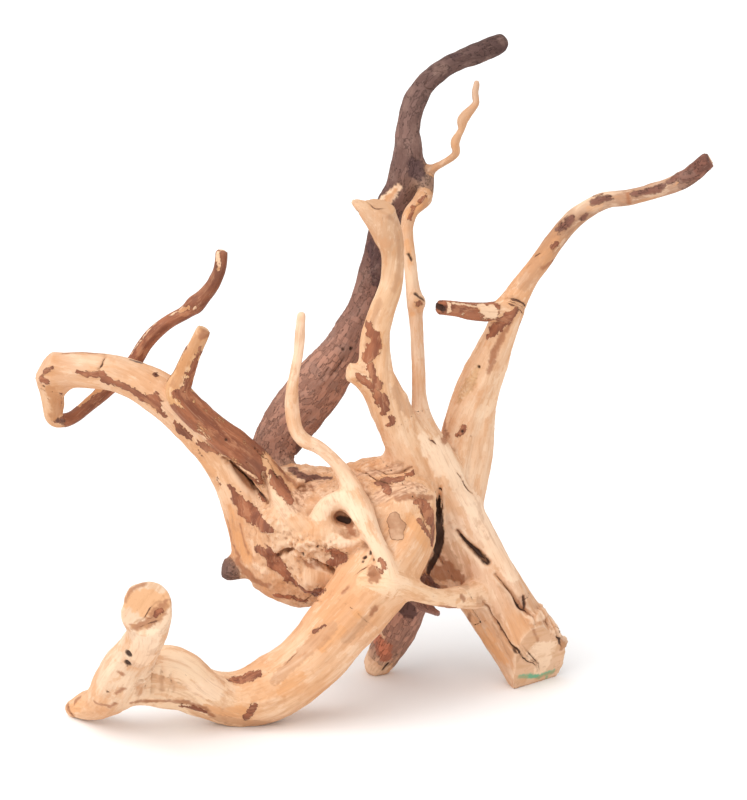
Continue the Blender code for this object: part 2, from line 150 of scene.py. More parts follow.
def grow(name, points, colour, laid=ONE_STRAND, bark=NONE_LEFT, char=NONE_LEFT):
    """Add a limb to the solid: a rod along each strand, and the strands' exponentials summed.

    A point has its radius with it. Laid is the number of strands, their distance from the middle
    and their radius as shares of the limb's, and their turn in degrees. Colour, bark and char are
    stops along the limb. Bark is the red inner one and char the grey outer one: above 0 it is left.
    """
    line = smooth_route(points)
    line[:, :3] += STANDS_AT
    sides, ups = across(line)
    turn = np.linspace(0, math.radians(laid[3]), len(line))[:, None]
    limbs[name] = {
        "line": line,
        "sides": np.cos(turn) * sides + np.sin(turn) * ups,
        "ups": np.cos(turn) * ups - np.sin(turn) * sides,
        "colour": colour,
        "bark": bark,
        "char": char,
    }
    reach = line[:, 3].max() + FUSE_REACH
    block, (x, y, z) = block_round(line[:, :3].min(0) - reach, line[:, :3].max(0) + reach)
    total = 0
    for strand in strands_of(line, sides, ups, *laid):
        nearest = np.full(np.broadcast(x, y, z).shape, FAR_OFF, np.float32)
        for start, end in zip(strand, strand[1:]):
            rod(nearest, x, y, z, start, end)
        total = total + np.exp(-nearest / STRAND_FUSE)
    solid_sum[block] += total ** (STRAND_FUSE / FUSE)


def swell(at, radius, burl=False):
    """Add a ball of wood: distance to its centre less its radius. A burl one is gnarled as well."""
    at = np.array(at, float) + STANDS_AT
    block, (x, y, z) = block_round(at - radius - FUSE_REACH, at + radius + FUSE_REACH)
    far = np.sqrt((x - at[0]) ** 2 + (y - at[1]) ** 2 + (z - at[2]) ** 2) - radius
    solid_sum[block] += np.exp(-far / FUSE)
    if burl:
        lumps.append((at, radius))


def unit(way):
    """A direction with a length of 1: itself over its own length."""
    way = np.array(way, float)
    return way / np.linalg.norm(way)


def ring(at, facing, radius, rim, fuller=0.0):
    """Add a rolled ring: distance to a circle less the rim, which is fuller on its lower side."""
    at = np.array(at, float) + STANDS_AT
    facing = unit(facing)
    reach = radius + rim + FUSE_REACH
    block, (x, y, z) = block_round(at - reach, at + reach)
    x, y, z = x - at[0], y - at[1], z - at[2]
    height = x * facing[0] + y * facing[1] + z * facing[2]
    wide = np.sqrt(np.maximum(x**2 + y**2 + z**2 - height**2, 0))
    thick = rim * (1 - fuller * z / radius)
    solid_sum[block] += np.exp(-(np.hypot(wide - radius, height) - thick) / FUSE)


def hollow(at, along, length, width, depth, facing=(0, -1, 0)):
    """Mark a hole or split to carve: an ellipsoid with its depth towards the facing side."""
    hollows.append((at, along, length, width, depth, facing))


def saw_cut(at, facing, reach=48):
    """Mark a flat saw cut: all wood in front of the plane goes, as far as the reach."""
    saw_cuts.append((at, facing, reach))


def patch(kind, *strips, through=5, strands=None):
    """Mark strips of the surface: each is a line of points, and each point has its half width.

    Through is how far under or over the surface a point may lie and still mark it.
    """
    for strip in strips:
        patches.append((kind, strip, through, strands))


def crack(width, depth, *points):
    """Mark a drying crack along a line of points, widest in its middle."""
    cracks.append((width, depth, points))


BURL_COLOUR = (0.73, 0.46, 0.285)
for x, y, z, radius in (
    (-48, 27, 107, 35), (-21, 27, 100, 40), (2, 27, 112, 36), (-65, 24, 87, 20), (-46, 23, 76, 19),
    (-22, 20, 81, 23), (-42, 30, 127, 14), (-19, 30, 125, 15), (13, 30, 136, 14), (-38, 0, 84, 10),
    (-41, -6, 108, 8), (-60, 2, 115, 10), (14, 6, 126, 16),
):
    swell((x, y, z), radius, burl=True)
ring((-22.5, -11, 123), (-0.1, -1, 0.3), 11, 6.2, fuller=0.15)
ring((-41, -10.5, 111), (-0.2, -1, 0.1), 3.4, 2.4)
hollow((-20, -15, 122), (1, 0, -0.35), 6.4, 3.6, 9)
hollow((-17, -19, 117), (1, 0, -0.5), 6.4, 4.6, 4.5)
hollow((-67, 2, 138), (0.15, 0.05, -1), 11, 2.0, 6)
hollow((36, 12, 118), (-0.05, 0.15, -1), 21, 2.5, 15)
hollow((34, 16, 92), (-0.35, 0.1, -1), 17, 4.2, 16)
hollow((-42, 8, 137), (1, 0, 0.2), 8, 4, 7)
hollow((-32, -9, 93), (1, 0, -0.6), 9, 2, 6)
hollow((-57, -6, 100), (1, 0, 0.5), 8, 2.2, 6)
patch(
    "smooth",
    ((-35, -14, 128, 14.4), (-20, -14, 132, 14.4), (-17, -10, 119, 12)),
    ((13, -10, 131, 10.8), (16, -13, 116, 12), (12, -27, 102, 8.4)),
    ((-38, -10, 87, 5.4), (-31, -10, 84, 4.8)),
    ((-90, 14, 127, 4.8), (-88, 20, 106, 5.4), (-83, 10, 96, 4.8)),
)
patch(
    "knobbly",
    ((-55, -9, 113, 6), (-41, -17, 110, 7.2), (-31, -18, 108, 4.8), (-20, -21, 113, 2.4)),
    ((-48, -10, 102, 4.8), (-39, -10, 95, 4.2)),
)
patch(
    "orange",
    ((-88, 14, 121, 3), (-87, 17, 110, 4.8), (-84, 12, 102, 6), (-79, 7, 93, 4.8)),
    ((18, -11, 123, 3), (25, -13, 114, 3.6), (27, -11, 106, 2.4)),
)
patch(
    "brown",
    ((-91, 21, 112, 0.7), (-88, 23, 98, 0.9), (-84, 12, 92, 1.1)),
    ((-83, 10, 113, 0.6), (-81, 8, 103, 0.8), (-78, 6, 96, 0.9)),
    ((-26, -7, 123, 2.4), (-22, -7, 121, 3.6), (-18, -10, 118, 3), (-15, -15, 115, 2.4)),
    # This strip is a painted shadow below the matted fibres.
    ((11, -7, 135, 2.4), (22, -6, 135, 2.4), (32, 1, 132, 1.8)),
    ((-85, 12, 89, 2), (-81, 9, 84, 3), (-75, 8, 78, 2.6), (-66, 5, 76, 2.4)),
    ((-43, -8, 95, 1.8), (-38, -10, 93, 2.4)),
    ((-4, -32, 99, 2.4), (-2, -37, 95, 3.6)),
    ((-63, 7, 153, 1.8), (-56, 9, 145, 2.4), (-50, 9, 138, 1.8)),
)
patch(
    "tan",
    ((-15, -2, 149, 1.8), (-2, 14, 145, 3), (13, 12, 149, 3)),
    ((-25, -18, 118, 3), (-18, -16, 114, 3)),
)
patch(
    "cream",
    ((-36, -12, 130, 8.4), (-28, -10, 137, 5.4)),
    ((-20, -13, 137, 4.8), (-15, -18, 127, 3.6)),
)
patch(
    "umber",
    ((-53, 29, 143, 1.8), (-49, 19, 142, 3), (-43, 15, 140, 2.4), (-36, 19, 140, 2), (-29, 18, 139, 1.4)),
)
patch(
    "red",
    ((-89, 9, 137, 1.2), (-85, 9, 130, 3.6), (-80, 8, 124, 4.8), (-74, 5, 119, 4.8), (-67, -6, 116, 3.6),
     (-64, -8, 114, 1.2)),
    ((-64, 1, 148, 1.8), (-60, 1, 142, 4.8), (-56, -1, 137, 5.4), (-53, -5, 132, 3)),
    ((-70, 11, 132, 1.8), (-67, 8, 128, 1.2)),
    ((-72, 1, 100, 2.4), (-66, -3, 98, 5.4), (-60, -1, 91, 5.4), (-56, -1, 85, 3.6)),
    ((-54, 1, 81, 3), (-47, -3, 78, 3.6), (-39, -1, 73, 3), (-32, -24, 82, 1.8)),
    ((-62, 8, 69, 1.5), (-52, 6, 68, 1.8), (-45, 8, 65, 1.8)),
    ((-30, -17, 105, 2.4), (-25, -17, 103, 4.8), (-20, -17, 101, 3.6), (-27, -13, 96, 2.4)),
    ((-1, 4, 141, 1.8), (4, 3, 141, 3.6), (12, 3, 143, 2.1), (20, 11, 145, 1.2)),
    ((4, 0, 140, 2.4), (6, -4, 137, 1.8)),
    ((21, -7, 132, 1.2), (25, -6, 131, 3), (29, -6, 126, 4.8), (31, -5, 119, 3.6), (32, -4, 111, 2.4),
     (32, -5, 106, 1.2)),
    ((24, -9, 122, 1.2), (28, -10, 115, 1.8), (31, -6, 108, 1.2)),
    ((1, -32, 104, 1.4), (3, -36, 101, 1.8)),
    ((-1, -33, 100, 0.7), (2, -37, 98, 0.8)),
)
patch(
    "pale",
    ((-69, 3, 147, 1.5), (-67, 7, 138, 2.4), (-61, -3, 132, 3.3), (-55, -8, 126, 3.9)),
    ((-28, -20, 112, 3), (-17, -21, 111, 2.4)),
    ((-74, 4, 89, 2.1), (-67, 2, 85, 1.8)),
)
patch("scab", ((9, -12, 123, 4.2), (11, -14, 119, 5.7), (11, -16, 115, 4.2)))
patch(
    "dark",
    ((-8, -24, 103, 1.4),),
    ((-5, -25, 106, 1.3),),
    ((-9, -26, 101, 0.9),),
    ((-2, -28, 103, 0.9),),
    ((-23, -7, 122, 1.8), (-18, -7, 120, 2)),
    ((-45, -11, 101, 1),),
    ((-36, -16, 107, 0.8),),
)
patch(
    "fibres",
    ((-50, -5, 130, 5.4), (-47, 4, 134, 4.8), (-42, 14, 135, 3.6), (-34, 15, 138, 2.4)),
    strands=(-0.35, 0.1, 1),
)
patch("fibres", ((1, -4, 134, 4.2), (13, -3, 140, 5.4), (26, 2, 138, 4.2)), strands=(1, 0.2, 0.35))
patch("fibres", ((-13, 15, 142, 1.8), (-2, 11, 145, 3), (12, 13, 147, 3)), strands=(1, 0, 0.3))
patch("fibres", ((-49, 20, 142, 2.4), (-40, 18, 140, 3), (-30, 17, 139, 1.8)), strands=(1, 0.1, -0.1))
# Painted shade: these dark strips run down the shaded hollow between the crown and the trunk.
patch(
    "dark",
    ((35, 22, 125, 1.2), (36, 26, 119, 2.0), (37, 24, 112, 2.6), (37, 27, 103, 2.8), (37, 29, 96, 2.8),
     (35, 33, 87, 2.6), (33, 38, 79, 2.4), (30, 39, 72, 1.8)),
    ((34, 8, 130, 1.2), (34, 8, 118, 2.2), (34, 8, 106, 2.2), (34, 8, 95, 2.2)),
    ((35, 17, 130, 1.2), (35, 17, 118, 2.4), (35, 17, 106, 2.4), (34, 17, 95, 2.4)),
    through=14,
)
crack(0.7, 1.0, (-2, 16, 146), (5, 10, 144), (13, 11, 145), (20, 12, 148))
crack(0.6, 0.8, (-13, 20, 144), (-1, 6, 142), (8, 0, 141))
crack(1.3, 1.4, (-92, 10, 155), (-80, 20, 140), (-71, 12, 133), (-66, 7, 127))
crack(0.8, 0.8, (-52, 7, 67), (-44, 7, 65), (-34, -28, 77))
crack(0.5, 0.5, (25, -7, 128), (27, -8, 122), (27, -10, 116))
grow(
    "crown_ridge",
    ((-68, 7, 152, 2.5), (-65, 5, 144, 3.4), (-61, 3, 136, 4), (-54, -3, 128, 4.2), (-47, -8, 119, 4.4)),
    colour=((0, (0.78, 0.52, 0.33)), (1, (0.74, 0.47, 0.29))),
)
grow(
    "bark_scrap",
    ((-78, 24, 84, 6.5), (-83, 21, 83, 7), (-87, 19, 82, 7.5), (-90, 17, 82, 7)),
    colour=((0, (0.50, 0.28, 0.17)), (0.5, (0.16, 0.09, 0.07)), (1, (0.20, 0.12, 0.10))),
    char=((0, -4), (0.2, 4), (1, 6)),
)
saw_cut((-94, 18, 84), (-1, 0.2, 0.1), reach=11)
saw_cut((-89, 18, 75.5), (0.12, -0.1, -1), reach=10)

# The front limb is the thick, smooth limb that comes down towards the viewer, rests on its bend
# and arches on to a swollen fork, where a stub stands up, sawn off square. Its wood is stripped
# to a clean cream, with a few spots of bark, small knot holes and wrinkles at the arch.
forks = []


def fork(name, at, along, of=(), until=None, slot="stripped_wood"):
    """Mark where a length begins: the skin of its limbs, past a plane across the wood."""
    forks.append((name, at, along, of or (name,), until, slot))


grow(
    "front_limb",
    ((17, 13, 122, 20.5), (10, 1, 103, 21.5), (-4, -17, 82, 21.5), (-22, -27, 61, 20),
     (-42, -29, 38, 18.5), (-66, -27, 20, 18.5), (-85, -27, 15, 16), (-101, -31, 20, 14.5),
     (-115, -36, 28, 15), (-129, -42, 33, 15.5), (-144, -47, 35, 13)),
    # The colour is paler from 0.82 along, on the arch, as a painted highlight where light falls from
    # above.
    colour=((0, (0.74, 0.43, 0.24)), (0.35, (0.70, 0.37, 0.195)), (0.5, (0.76, 0.46, 0.27)),
            (0.68, (0.74, 0.44, 0.25)), (0.82, (0.93, 0.69, 0.47)), (1, (0.76, 0.48, 0.29))),
    laid=(3, 0.24, 0.80, 110),
)
grow(
    "front_stub",
    ((-183, -16, 5, 5.5), (-175, -24, 10, 8.0), (-165, -35, 17, 10.0), (-155, -50, 32, 13.5),
     (-146, -66, 51, 13.5), (-137, -80, 67, 11.5), (-131, -93, 83, 11.4), (-130, -107, 99, 13.0),
     (-129, -116, 109, 13.0)),
    colour=((0, (0.72, 0.45, 0.27)), (0.4, (0.74, 0.51, 0.34)), (1, (0.74, 0.53, 0.37))),
)
hollow((-4, -37, 98), (0.8, -0.3, -0.4), 3.5, 3, 4)
patch(
    "dark",
    ((-142, -91, 68, 2.5),),
    ((-143, -87, 61, 2.2),),
    ((-157, -70, 36, 0.8),),
    ((-186, -22, 8, 0.7),),
    ((-184, -24, 4, 0.8),),
    ((-79, -40, 7, 1.2),),
)
patch(
    "brown",
    ((-149, -82, 53, 1.3), (-147, -82, 52, 1.6)),
    ((-152, -71, 36, 1.1), (-149, -73, 39, 1.7), (-146, -75, 41, 1.1)),
    ((-167, -55, 24, 1), (-161, -60, 25, 1.4), (-158, -61, 24, 1.7), (-153, -65, 27, 1)),
    ((-181, -27, 14, 1.8), (-178, -30, 17, 1.8)),
    ((-187, -19, 8, 1.8), (-186, -23, 6, 2.4), (-183, -23, 3, 1.8)),
    ((-137, -110, 91, 1.5), (-130, -109, 92, 2.7), (-124, -107, 97, 4.2), (-120, -105, 102, 2.4)),
    ((-142, -105, 104, 1), (-140, -103, 109, 1.2), (-136, -102, 112, 1.2), (-131, -101, 113, 1)),
    ((-144, -61, 26, 1.2), (-134, -56, 25, 1.3), (-123, -53, 24, 1.4), (-113, -48, 21, 1.6),
     (-103, -44, 16, 1.8), (-98, -41, 10, 1.5)),
    ((-4, -42, 74, 1.9), (-2, -41, 77, 2.2)),
    ((-21, -36, 85, 1.2), (-18, -35, 88, 1.2)),
)
patch(
    "orange",
    ((-185, -24, 7, 3), (-179, -33, 13, 3.6)),
    ((-139, -105, 105, 5.4), (-130, -105, 103, 8.4), (-122, -104, 104, 5.4)),
    ((-138, -72, 40, 1.8), (-138, -63, 33, 1.8)),
    ((-102, -45, 17, 3), (-91, -43, 13, 4.2), (-80, -44, 13, 4.2)),
    ((-56, -47, 28, 4.8), (-46, -47, 37, 3.6)),
    ((-33, -48, 55, 3), (-22, -47, 66, 3)),
    ((-12, -44, 75, 3),),
)
patch(
    "red",
    ((-125, -107, 97, 1.3), (-122, -107, 99, 1.6)),
    ((-116, -48, 19, 1.6), (-108, -46, 16, 1.9), (-102, -43, 13, 1.2)),
    ((-90, -34, 29, 1.5), (-85, -32, 29, 3.6), (-78, -34, 31, 3.9), (-72, -35, 34, 3.6),
     (-70, -35, 36, 1.2)),
    ((-78, -42, 9, 2.1), (-76, -45, 14, 2.4), (-73, -46, 18, 1.8)),
    ((-38, -42, 63, 1.1), (-35, -43, 65, 1.4), (-32, -43, 67, 1.1)),
)
patch(
    "cream",
    ((-129, -108, 82, 8.4), (-136, -92, 64, 8.4)),
    ((-125, -49, 47, 7.2), (-113, -49, 40, 7.2), (-105, -48, 33, 7.2), (-97, -45, 28, 6)),
)
patch(
    "tan",
    ((-138, -76, 44, 2.4), (-139, -63, 33, 3)),
    ((-127, -56, 41, 1.4), (-127, -56, 32, 1.4)),
    ((-121, -54, 40, 1.1), (-120, -54, 31, 1.1)),
    ((-98, -41, 9, 3), (-87, -39, 6, 4.2), (-75, -37, 4, 4.8), (-67, -36, 4, 3)),
    ((-61, -45, 35, 3.6), (-46, -44, 49, 4.8), (-28, -46, 67, 4.2)),
    ((-19, -47, 60, 3), (-8, -44, 71, 3)),
)
patch("wrinkles", ((-132, -74, 50, 8.4), (-125, -57, 35, 9.6)))
crack(
    0.5, 0.3,
    (-137, -109, 93), (-132, -108, 95), (-129, -107, 99), (-125, -105, 103), (-121, -104, 104),
)
crack(0.5, 0.3, (-136, -110, 90), (-129, -109, 92), (-123, -108, 94))
crack(0.8, 0.6, (-48, -41, 50), (-52, -41, 46), (-55, -42, 43))
crack(0.4, 0.3, (-14, -32, 95), (-9, -31, 98), (-5, -29, 100))
swell((-130, -101, 100.5), 12.4)
grow(
    "arch_ridge",
    ((-129, -50, 49, 7.5), (-121, -50, 48, 8.5), (-112, -49, 43, 8.5), (-103, -44, 33, 7.5),
     (-93, -36, 22, 5)),
    # Its pale colour is a painted highlight on the top of the arch, where light falls from above.
    colour=((0, (0.90, 0.66, 0.45)), (1, (0.88, 0.62, 0.41))),
)
saw_cut((-131, -106, 101), (0.04, -0.93, 0.36))
fork("front_limb", (-16, -23, 68), (-0.6, -0.35, -0.7), of=("front_limb", "front_stub", "arch_ridge"))
fork("front_stub", (-134.5, -75, 67), (0.1, -0.65, 0.75))

# The trunk is the thickest old limb, which runs down to the right as fused, split strands and
# was sawn off. It rests on the lower corner of the cut. The short dark root behind it is the
# back foot, and the thin root that bridges from the front limb to the trunk is the cross root.
grow(
    "trunk",
    ((16, 29, 153, 12.5), (30, 36, 136, 16), (44, 43, 111, 19), (59, 45, 82, 21), (74, 41, 55, 21),
     (87, 37, 34, 21), (101, 33, 9, 21), (108, 31, -6, 21)),
    colour=((0, (0.88, 0.61, 0.42)), (0.4, (0.82, 0.55, 0.38)), (0.7, (0.62, 0.35, 0.205)),
            (1, (0.78, 0.51, 0.34))),
    laid=(3, 0.38, 0.68, 60),
)
grow(
    "back_foot",
    ((30, 50, 115, 15), (27, 58, 87, 15), (23, 61, 60, 14.5), (17, 59, 44, 14), (10, 57, 25, 12),
     (-1, 57, 5, 8.5)),
    colour=((0, (0.34, 0.17, 0.11)), (0.3, (0.38, 0.19, 0.13)), (0.6, (0.54, 0.29, 0.22)),
            (0.85, (0.50, 0.26, 0.18)), (1, (0.72, 0.46, 0.30))),
    laid=(3, 0.36, 0.70, 80),
    char=((0, -9), (0.3, -4), (0.45, 4), (0.9, 4), (0.97, -3), (1, -4)),
)
grow(
    "cross_root",
    ((-7, -33, 92, 4.5), (2, -34, 91, 5.5), (13, -30, 88, 5.5), (25, -19, 79, 5.5), (36, -6, 72, 5.5),
     (47, 8, 67, 6.5), (58, 24, 63, 8.5)),
    colour=((0, (0.86, 0.57, 0.35)), (1, (0.84, 0.54, 0.34))),
)
swell((41, 47, 73), 13)
grow(
    "root_scrap",
    ((22, 52, 62, 6), (25, 36, 56, 5), (31, 22, 55, 3.2), (36, 14, 55, 1.8)),
    colour=((0, (0.30, 0.15, 0.11)), (1, (0.44, 0.24, 0.19))),
    char=((0, 4), (0.5, 3), (1, 2)),
)
hollow((87, 12, 57), (26, -14, -38), 26, 2.4, 10)
# Painted shade: the inside of the trunk's wide split is painted dark over a shallow recess.
patch("dark", ((48, 28, 103, 0.7), (54, 28, 96, 1.2), (61, 28, 89, 1.9), (66, 28, 83, 1.7)), through=12)
patch(
    "tan",
    ((39, 28, 96, 3), (47, 28, 78, 4.2), (52, 11, 73, 3.6)),
    ((76, 23, 69, 3), (86, 22, 56, 3)),
    ((62, 15, 62, 3.6), (75, 22, 41, 4.8), (84, 20, 25, 3.6)),
)
patch(
    "orange",
    ((66, 26, 38, 2.4), (70, 26, 32, 2.4)),
    ((54, 33, 50, 3.6), (63, 32, 34, 4.8), (75, 25, 20, 4.8)),
    ((47, -1, 68, 1.8), (49, 0, 68, 1.6)),
)
patch(
    "brown",
    ((50, 2, 70, 1.6), (52, 3, 67, 1.6)),
    ((47, 8, 60, 1.8), (56, 38, 42, 1.8)),
    ((87, 24, 61, 2.4), (89, 22, 56, 3)),
    ((101, 43, 48, 1.5), (109, 44, 37, 2.1), (114, 40, 30, 2.1), (114, 43, 21, 1.5)),
    ((94, 17, 44, 1), (98, 25, 33, 1)),
    ((37, -10, 68, 1.8), (43, 0, 64, 1.8)),
    # The next three are partly the wood's own brown and partly painted shade in the hollow there.
    ((33, 37, 77, 3), (36, 34, 73, 5.4), (43, 31, 74, 5.4), (49, 28, 71, 4.2)),
    ((31, 41, 65, 3), (41, 38, 63, 3)),
    ((38, 32, 83, 3), (42, 30, 79, 3)),
)
patch(
    "dark",
    ((88, 25, 62, 0.7), (89, 23, 58, 1), (89, 22, 55, 0.6)),
    ((83, 20, 33, 0.5), (85, 19, 29, 1), (88, 20, 25, 0.5)),
    ((3, 49, 5, 1), (6, 49, 9, 1.1)),
)
patch(
    "splinters",
    ((93, 19, 49, 3), (102, 40, 45, 3.6), (107, 39, 38, 4.2), (103, 29, 31, 4.2)),
    ((100, 43, 49, 1.8), (108, 44, 37, 3), (114, 40, 30, 3.6), (114, 43, 23, 2.4)),
)
patch(
    "cream",
    ((97, 27, 26, 6.6), (105, 35, 23, 6.6), (101, 37, 10, 6)),
    ((37, 22, 158, 6), (48, 25, 137, 7.2), (61, 31, 114, 7.8), (73, 30, 91, 7.8), (82, 28, 76, 6)),
    ((28, 15, 164, 4.8), (37, 19, 144, 4.8)),
)
patch(
    "green",
    ((87, 26, 9, 1.4), (94, 33, 7, 1.8), (100, 39, 4, 1.4)),
    ((102, 40, 5, 1.4), (109, 47, 5, 1.7)),
    ((105, 44, 2, 1.2),),
)
patch("rust", ((-2, 57, 23, 2.4), (0, 51, 24, 4.2), (3, 45, 19, 5.4), (5, 45, 14, 4.2)))
patch(
    "pale",
    ((-6, 60, 14, 2.1), (-7, 59, 11, 2.4), (-5, 49, 6, 3), (1, 50, 3, 3), (6, 51, 5, 1.8)),
    ((2, 51, 29, 1), (3, 48, 27, 1.2)),
)
patch("grey", ((16, 45, 48, 4.8), (20, 44, 45, 4.8)))
patch("red", ((41, 1, 63, 1.5), (46, 1, 64, 1.5)))
patch("umber", ((31, 39, 68, 2.4), (36, 39, 64, 2.4)))
crack(2.4, 2.2, (48, 28, 103), (54, 28, 96), (61, 28, 89), (66, 28, 83))
crack(0.7, 1.0, (47, 27, 140), (54, 33, 128), (57, 36, 124))
crack(1.2, 1.6, (71, 25, 76), (76, 25, 69), (81, 24, 63), (85, 22, 56), (89, 23, 53), (94, 22, 50))
crack(
    1.1, 1.4,
    (63, 19, 61), (69, 25, 52), (74, 23, 46), (78, 22, 40), (82, 20, 33), (86, 16, 29), (91, 25, 20),
    (97, 31, 15), (99, 37, 8),
)
crack(0.8, 1.0, (75, 23, 44), (78, 22, 39), (81, 20, 35))
crack(0.8, 1.0, (88, 17, 33), (94, 26, 23), (98, 33, 16), (100, 37, 9))
crack(1.6, 1.6, (105, 37, 37), (108, 35, 35), (110, 36, 32), (114, 43, 22))
crack(1.0, 1.0, (105, 43, 42), (109, 41, 37), (113, 40, 31))
crack(0.6, 0.8, (31, 18, 164), (35, 20, 160))
saw_cut((88, 31, 0), (0.6, -0.73, -0.32))
fork("trunk", (77, 40, 49), (0.5, -0.2, -0.85))
fork("back_foot", (20, 60, 51), (-0.35, -0.1, -0.9), slot="dark_bark")
fork("cross_root", (28, -15.5, 77), (0.58, 0.7, -0.4), until=((44, 4.5, 68), (0.58, 0.78, -0.25)))

# The left limb arches up and away to the left, with a second strand fused along its top, which
# leaves it as a thorn. A red-brown twig hangs from its far end, turns and rises behind it.
grow(
    "left_limb",
    ((-58, 27, 78, 20), (-69, 26, 92, 20), (-76, 25, 112, 17.5), (-86, 23, 138, 14.5),
     (-100, 21, 160, 12.5), (-115, 19, 178, 12), (-133, 19, 193, 11.5), (-154, 21, 203, 10),
     (-175, 23, 205, 10), (-195, 25, 205, 9.5)),
    colour=((0, (0.58, 0.26, 0.12)), (0.2, (0.62, 0.30, 0.145)), (0.35, (0.80, 0.49, 0.29)),
            (0.6, (0.78, 0.51, 0.33)), (0.85, (0.72, 0.44, 0.27)), (1, (0.68, 0.41, 0.26))),
    laid=(2, 0.24, 0.82, 140),
    bark=((0, -2.5), (0.3, -2), (0.5, -2.2), (0.8, -3), (1, -2.5)),
)
grow(
    "thorn",
    ((-47, 14, 120, 6), (-58, 12, 134, 7.5), (-71, 9, 149, 8), (-85, 7, 163, 8.5), (-99, 5, 175, 8),
     (-112, 3, 188, 8), (-118, 2, 198, 7.5), (-115, 1, 207, 6.2), (-111, 0, 217, 5.2),
     (-107, -1, 226, 4.6), (-101, -3, 238, 4)),
    colour=((0, (0.62, 0.34, 0.18)), (0.55, (0.64, 0.33, 0.14)), (0.85, (0.66, 0.37, 0.18)),
            (1, (0.62, 0.38, 0.22))),
    bark=((0, -1), (0.12, 0.8), (0.3, 2.2), (0.48, 1.4), (0.6, 0.2), (0.75, -0.6), (0.9, -1.5), (1, -3)),
)
grow(
    "hook_twig",
    ((-194, 28, 200, 7), (-196, 28, 191, 6.4), (-196, 31, 182, 6.4), (-196, 35, 173, 5.2),
     (-192, 40, 169, 3.8), (-185, 46, 170, 3.8), (-177, 50, 176, 4.2), (-168, 54, 183, 4.4),
     (-158, 57, 192, 4.4), (-149, 60, 201, 4.4), (-142, 61, 212, 4.2), (-135, 61, 220, 4.2),
     (-127, 61, 226, 3.8), (-117, 60, 232, 3.8), (-109, 58, 239, 3.9), (-102, 57, 247, 3.8),
     (-97, 55, 256, 3.5), (-95, 54, 264, 3.4), (-94, 53, 276, 3.4)),
    colour=((0, (0.70, 0.42, 0.24)), (0.3, (0.64, 0.34, 0.18)), (1, (0.70, 0.44, 0.28))),
    bark=((0, -2), (0.12, -0.5), (0.22, 0.5), (0.32, 1), (0.45, 2.5), (0.6, 3.5), (1, 3)),
)
swell((-193, 25, 198), 8.5)
swell((-197, 22, 203), 6)
swell((-111, 58, 237), 3.6)
saw_cut((-199.5, 24, 208.5), (-0.8, -0.15, 0.6), reach=11)
hollow((-80, 10, 142), (-14, 4, 20), 14, 2.6, 9)
patch(
    "orange",
    ((-112, 18, 155, 3.6), (-101, 16, 143, 4.8)),
    ((-105, -4, 181, 1.8), (-102, -3, 175, 2.1)),
)
patch(
    "red",
    ((-179, 14, 206, 1), (-173, 13, 205, 1.8), (-164, 13, 205, 2.1)),
    ((-163, 12, 202, 2.4), (-155, 11, 200, 2.4), (-147, 11, 196, 2.1), (-141, 10, 192, 2.1)),
    ((-139, 10, 191, 2.7), (-134, 8, 190, 4.2), (-129, 8, 186, 4.8)),
    ((-132, 9, 194, 1.8), (-127, 9, 181, 1.8)),
    ((-121, 10, 177, 1.8), (-118, 10, 171, 3), (-113, 10, 167, 2.1)),
    ((-107, 11, 163, 1.8), (-103, 9, 161, 3), (-97, 8, 159, 2.1)),
    ((-132, 15, 204, 1.8),),
    ((-198, 14, 206, 1.5), (-194, 15, 208, 1.2)),
    ((-201, 14, 203, 1.8), (-197, 14, 200, 2.1)),
    ((-119, -6, 198, 3), (-114, -6, 195, 3.6)),
    ((-112, -4, 196, 4.2), (-110, -3, 208, 3.6), (-107, -4, 218, 2.4), (-105, -5, 225, 1.8)),
    ((-117, -5, 211, 1.8), (-115, -5, 213, 1.8)),
    ((-116, -6, 199, 3.6), (-111, -5, 191, 4.2), (-103, -4, 183, 4.2), (-94, -3, 174, 5.4),
     (-84, -2, 164, 6.6), (-74, 0, 151, 6), (-68, 7, 142, 4.8)),
    ((-190, 18, 192, 1.4), (-190, 28, 181, 1.8)),
    ((-195, 28, 172, 2), (-190, 36, 172, 2.4)),
    ((-190, 36, 171, 2.4), (-186, 42, 173, 2.7), (-180, 45, 175, 1.8)),
)
patch(
    "brown",
    ((-93, 9, 155, 0.9), (-84, 3, 152, 0.9)),
    ((-188, 24, 215, 0.8), (-175, 25, 215, 1.1), (-163, 22, 215, 0.8)),
    ((-103, -7, 233, 2.4), (-101, -4, 235, 2.4)),
    ((-99, -4, 179, 1.2), (-90, -3, 169, 1.2), (-82, -2, 161, 1.2)),
    ((-110, 52, 239, 0.9), (-100, 52, 251, 1)),
)
patch("grey", ((-147, 21, 212, 1.1), (-142, 21, 210, 1.2)))
patch(
    "dark",
    ((-132, 15, 204, 1),),
    ((-199, 16, 197, 0.9),),
    ((-90, -3, 169, 1.1),),
)
patch(
    "pale",
    ((-126, 8, 187, 3), (-119, 8, 181, 3.9), (-112, 7, 173, 3.3), (-104, 1, 169, 2.4)),
    ((-93, 8, 156, 1), (-84, 3, 152, 1.1), (-73, 2, 144, 1.1)),
    ((-151, 59, 207, 0.7), (-144, 58, 216, 0.8), (-136, 60, 225, 0.8)),
    ((-127, 59, 230, 0.7), (-119, 58, 236, 0.8)),
    ((-111, 52, 236, 1.4),),
    ((-97, 52, 271, 1.3), (-96, 50, 262, 1.3)),
    ((-96, 55, 272, 0.9), (-92, 55, 271, 0.9)),
)
patch("tan", ((-112, -5, 189, 2.4), (-105, -4, 183, 3), (-98, -4, 175, 2.4)))
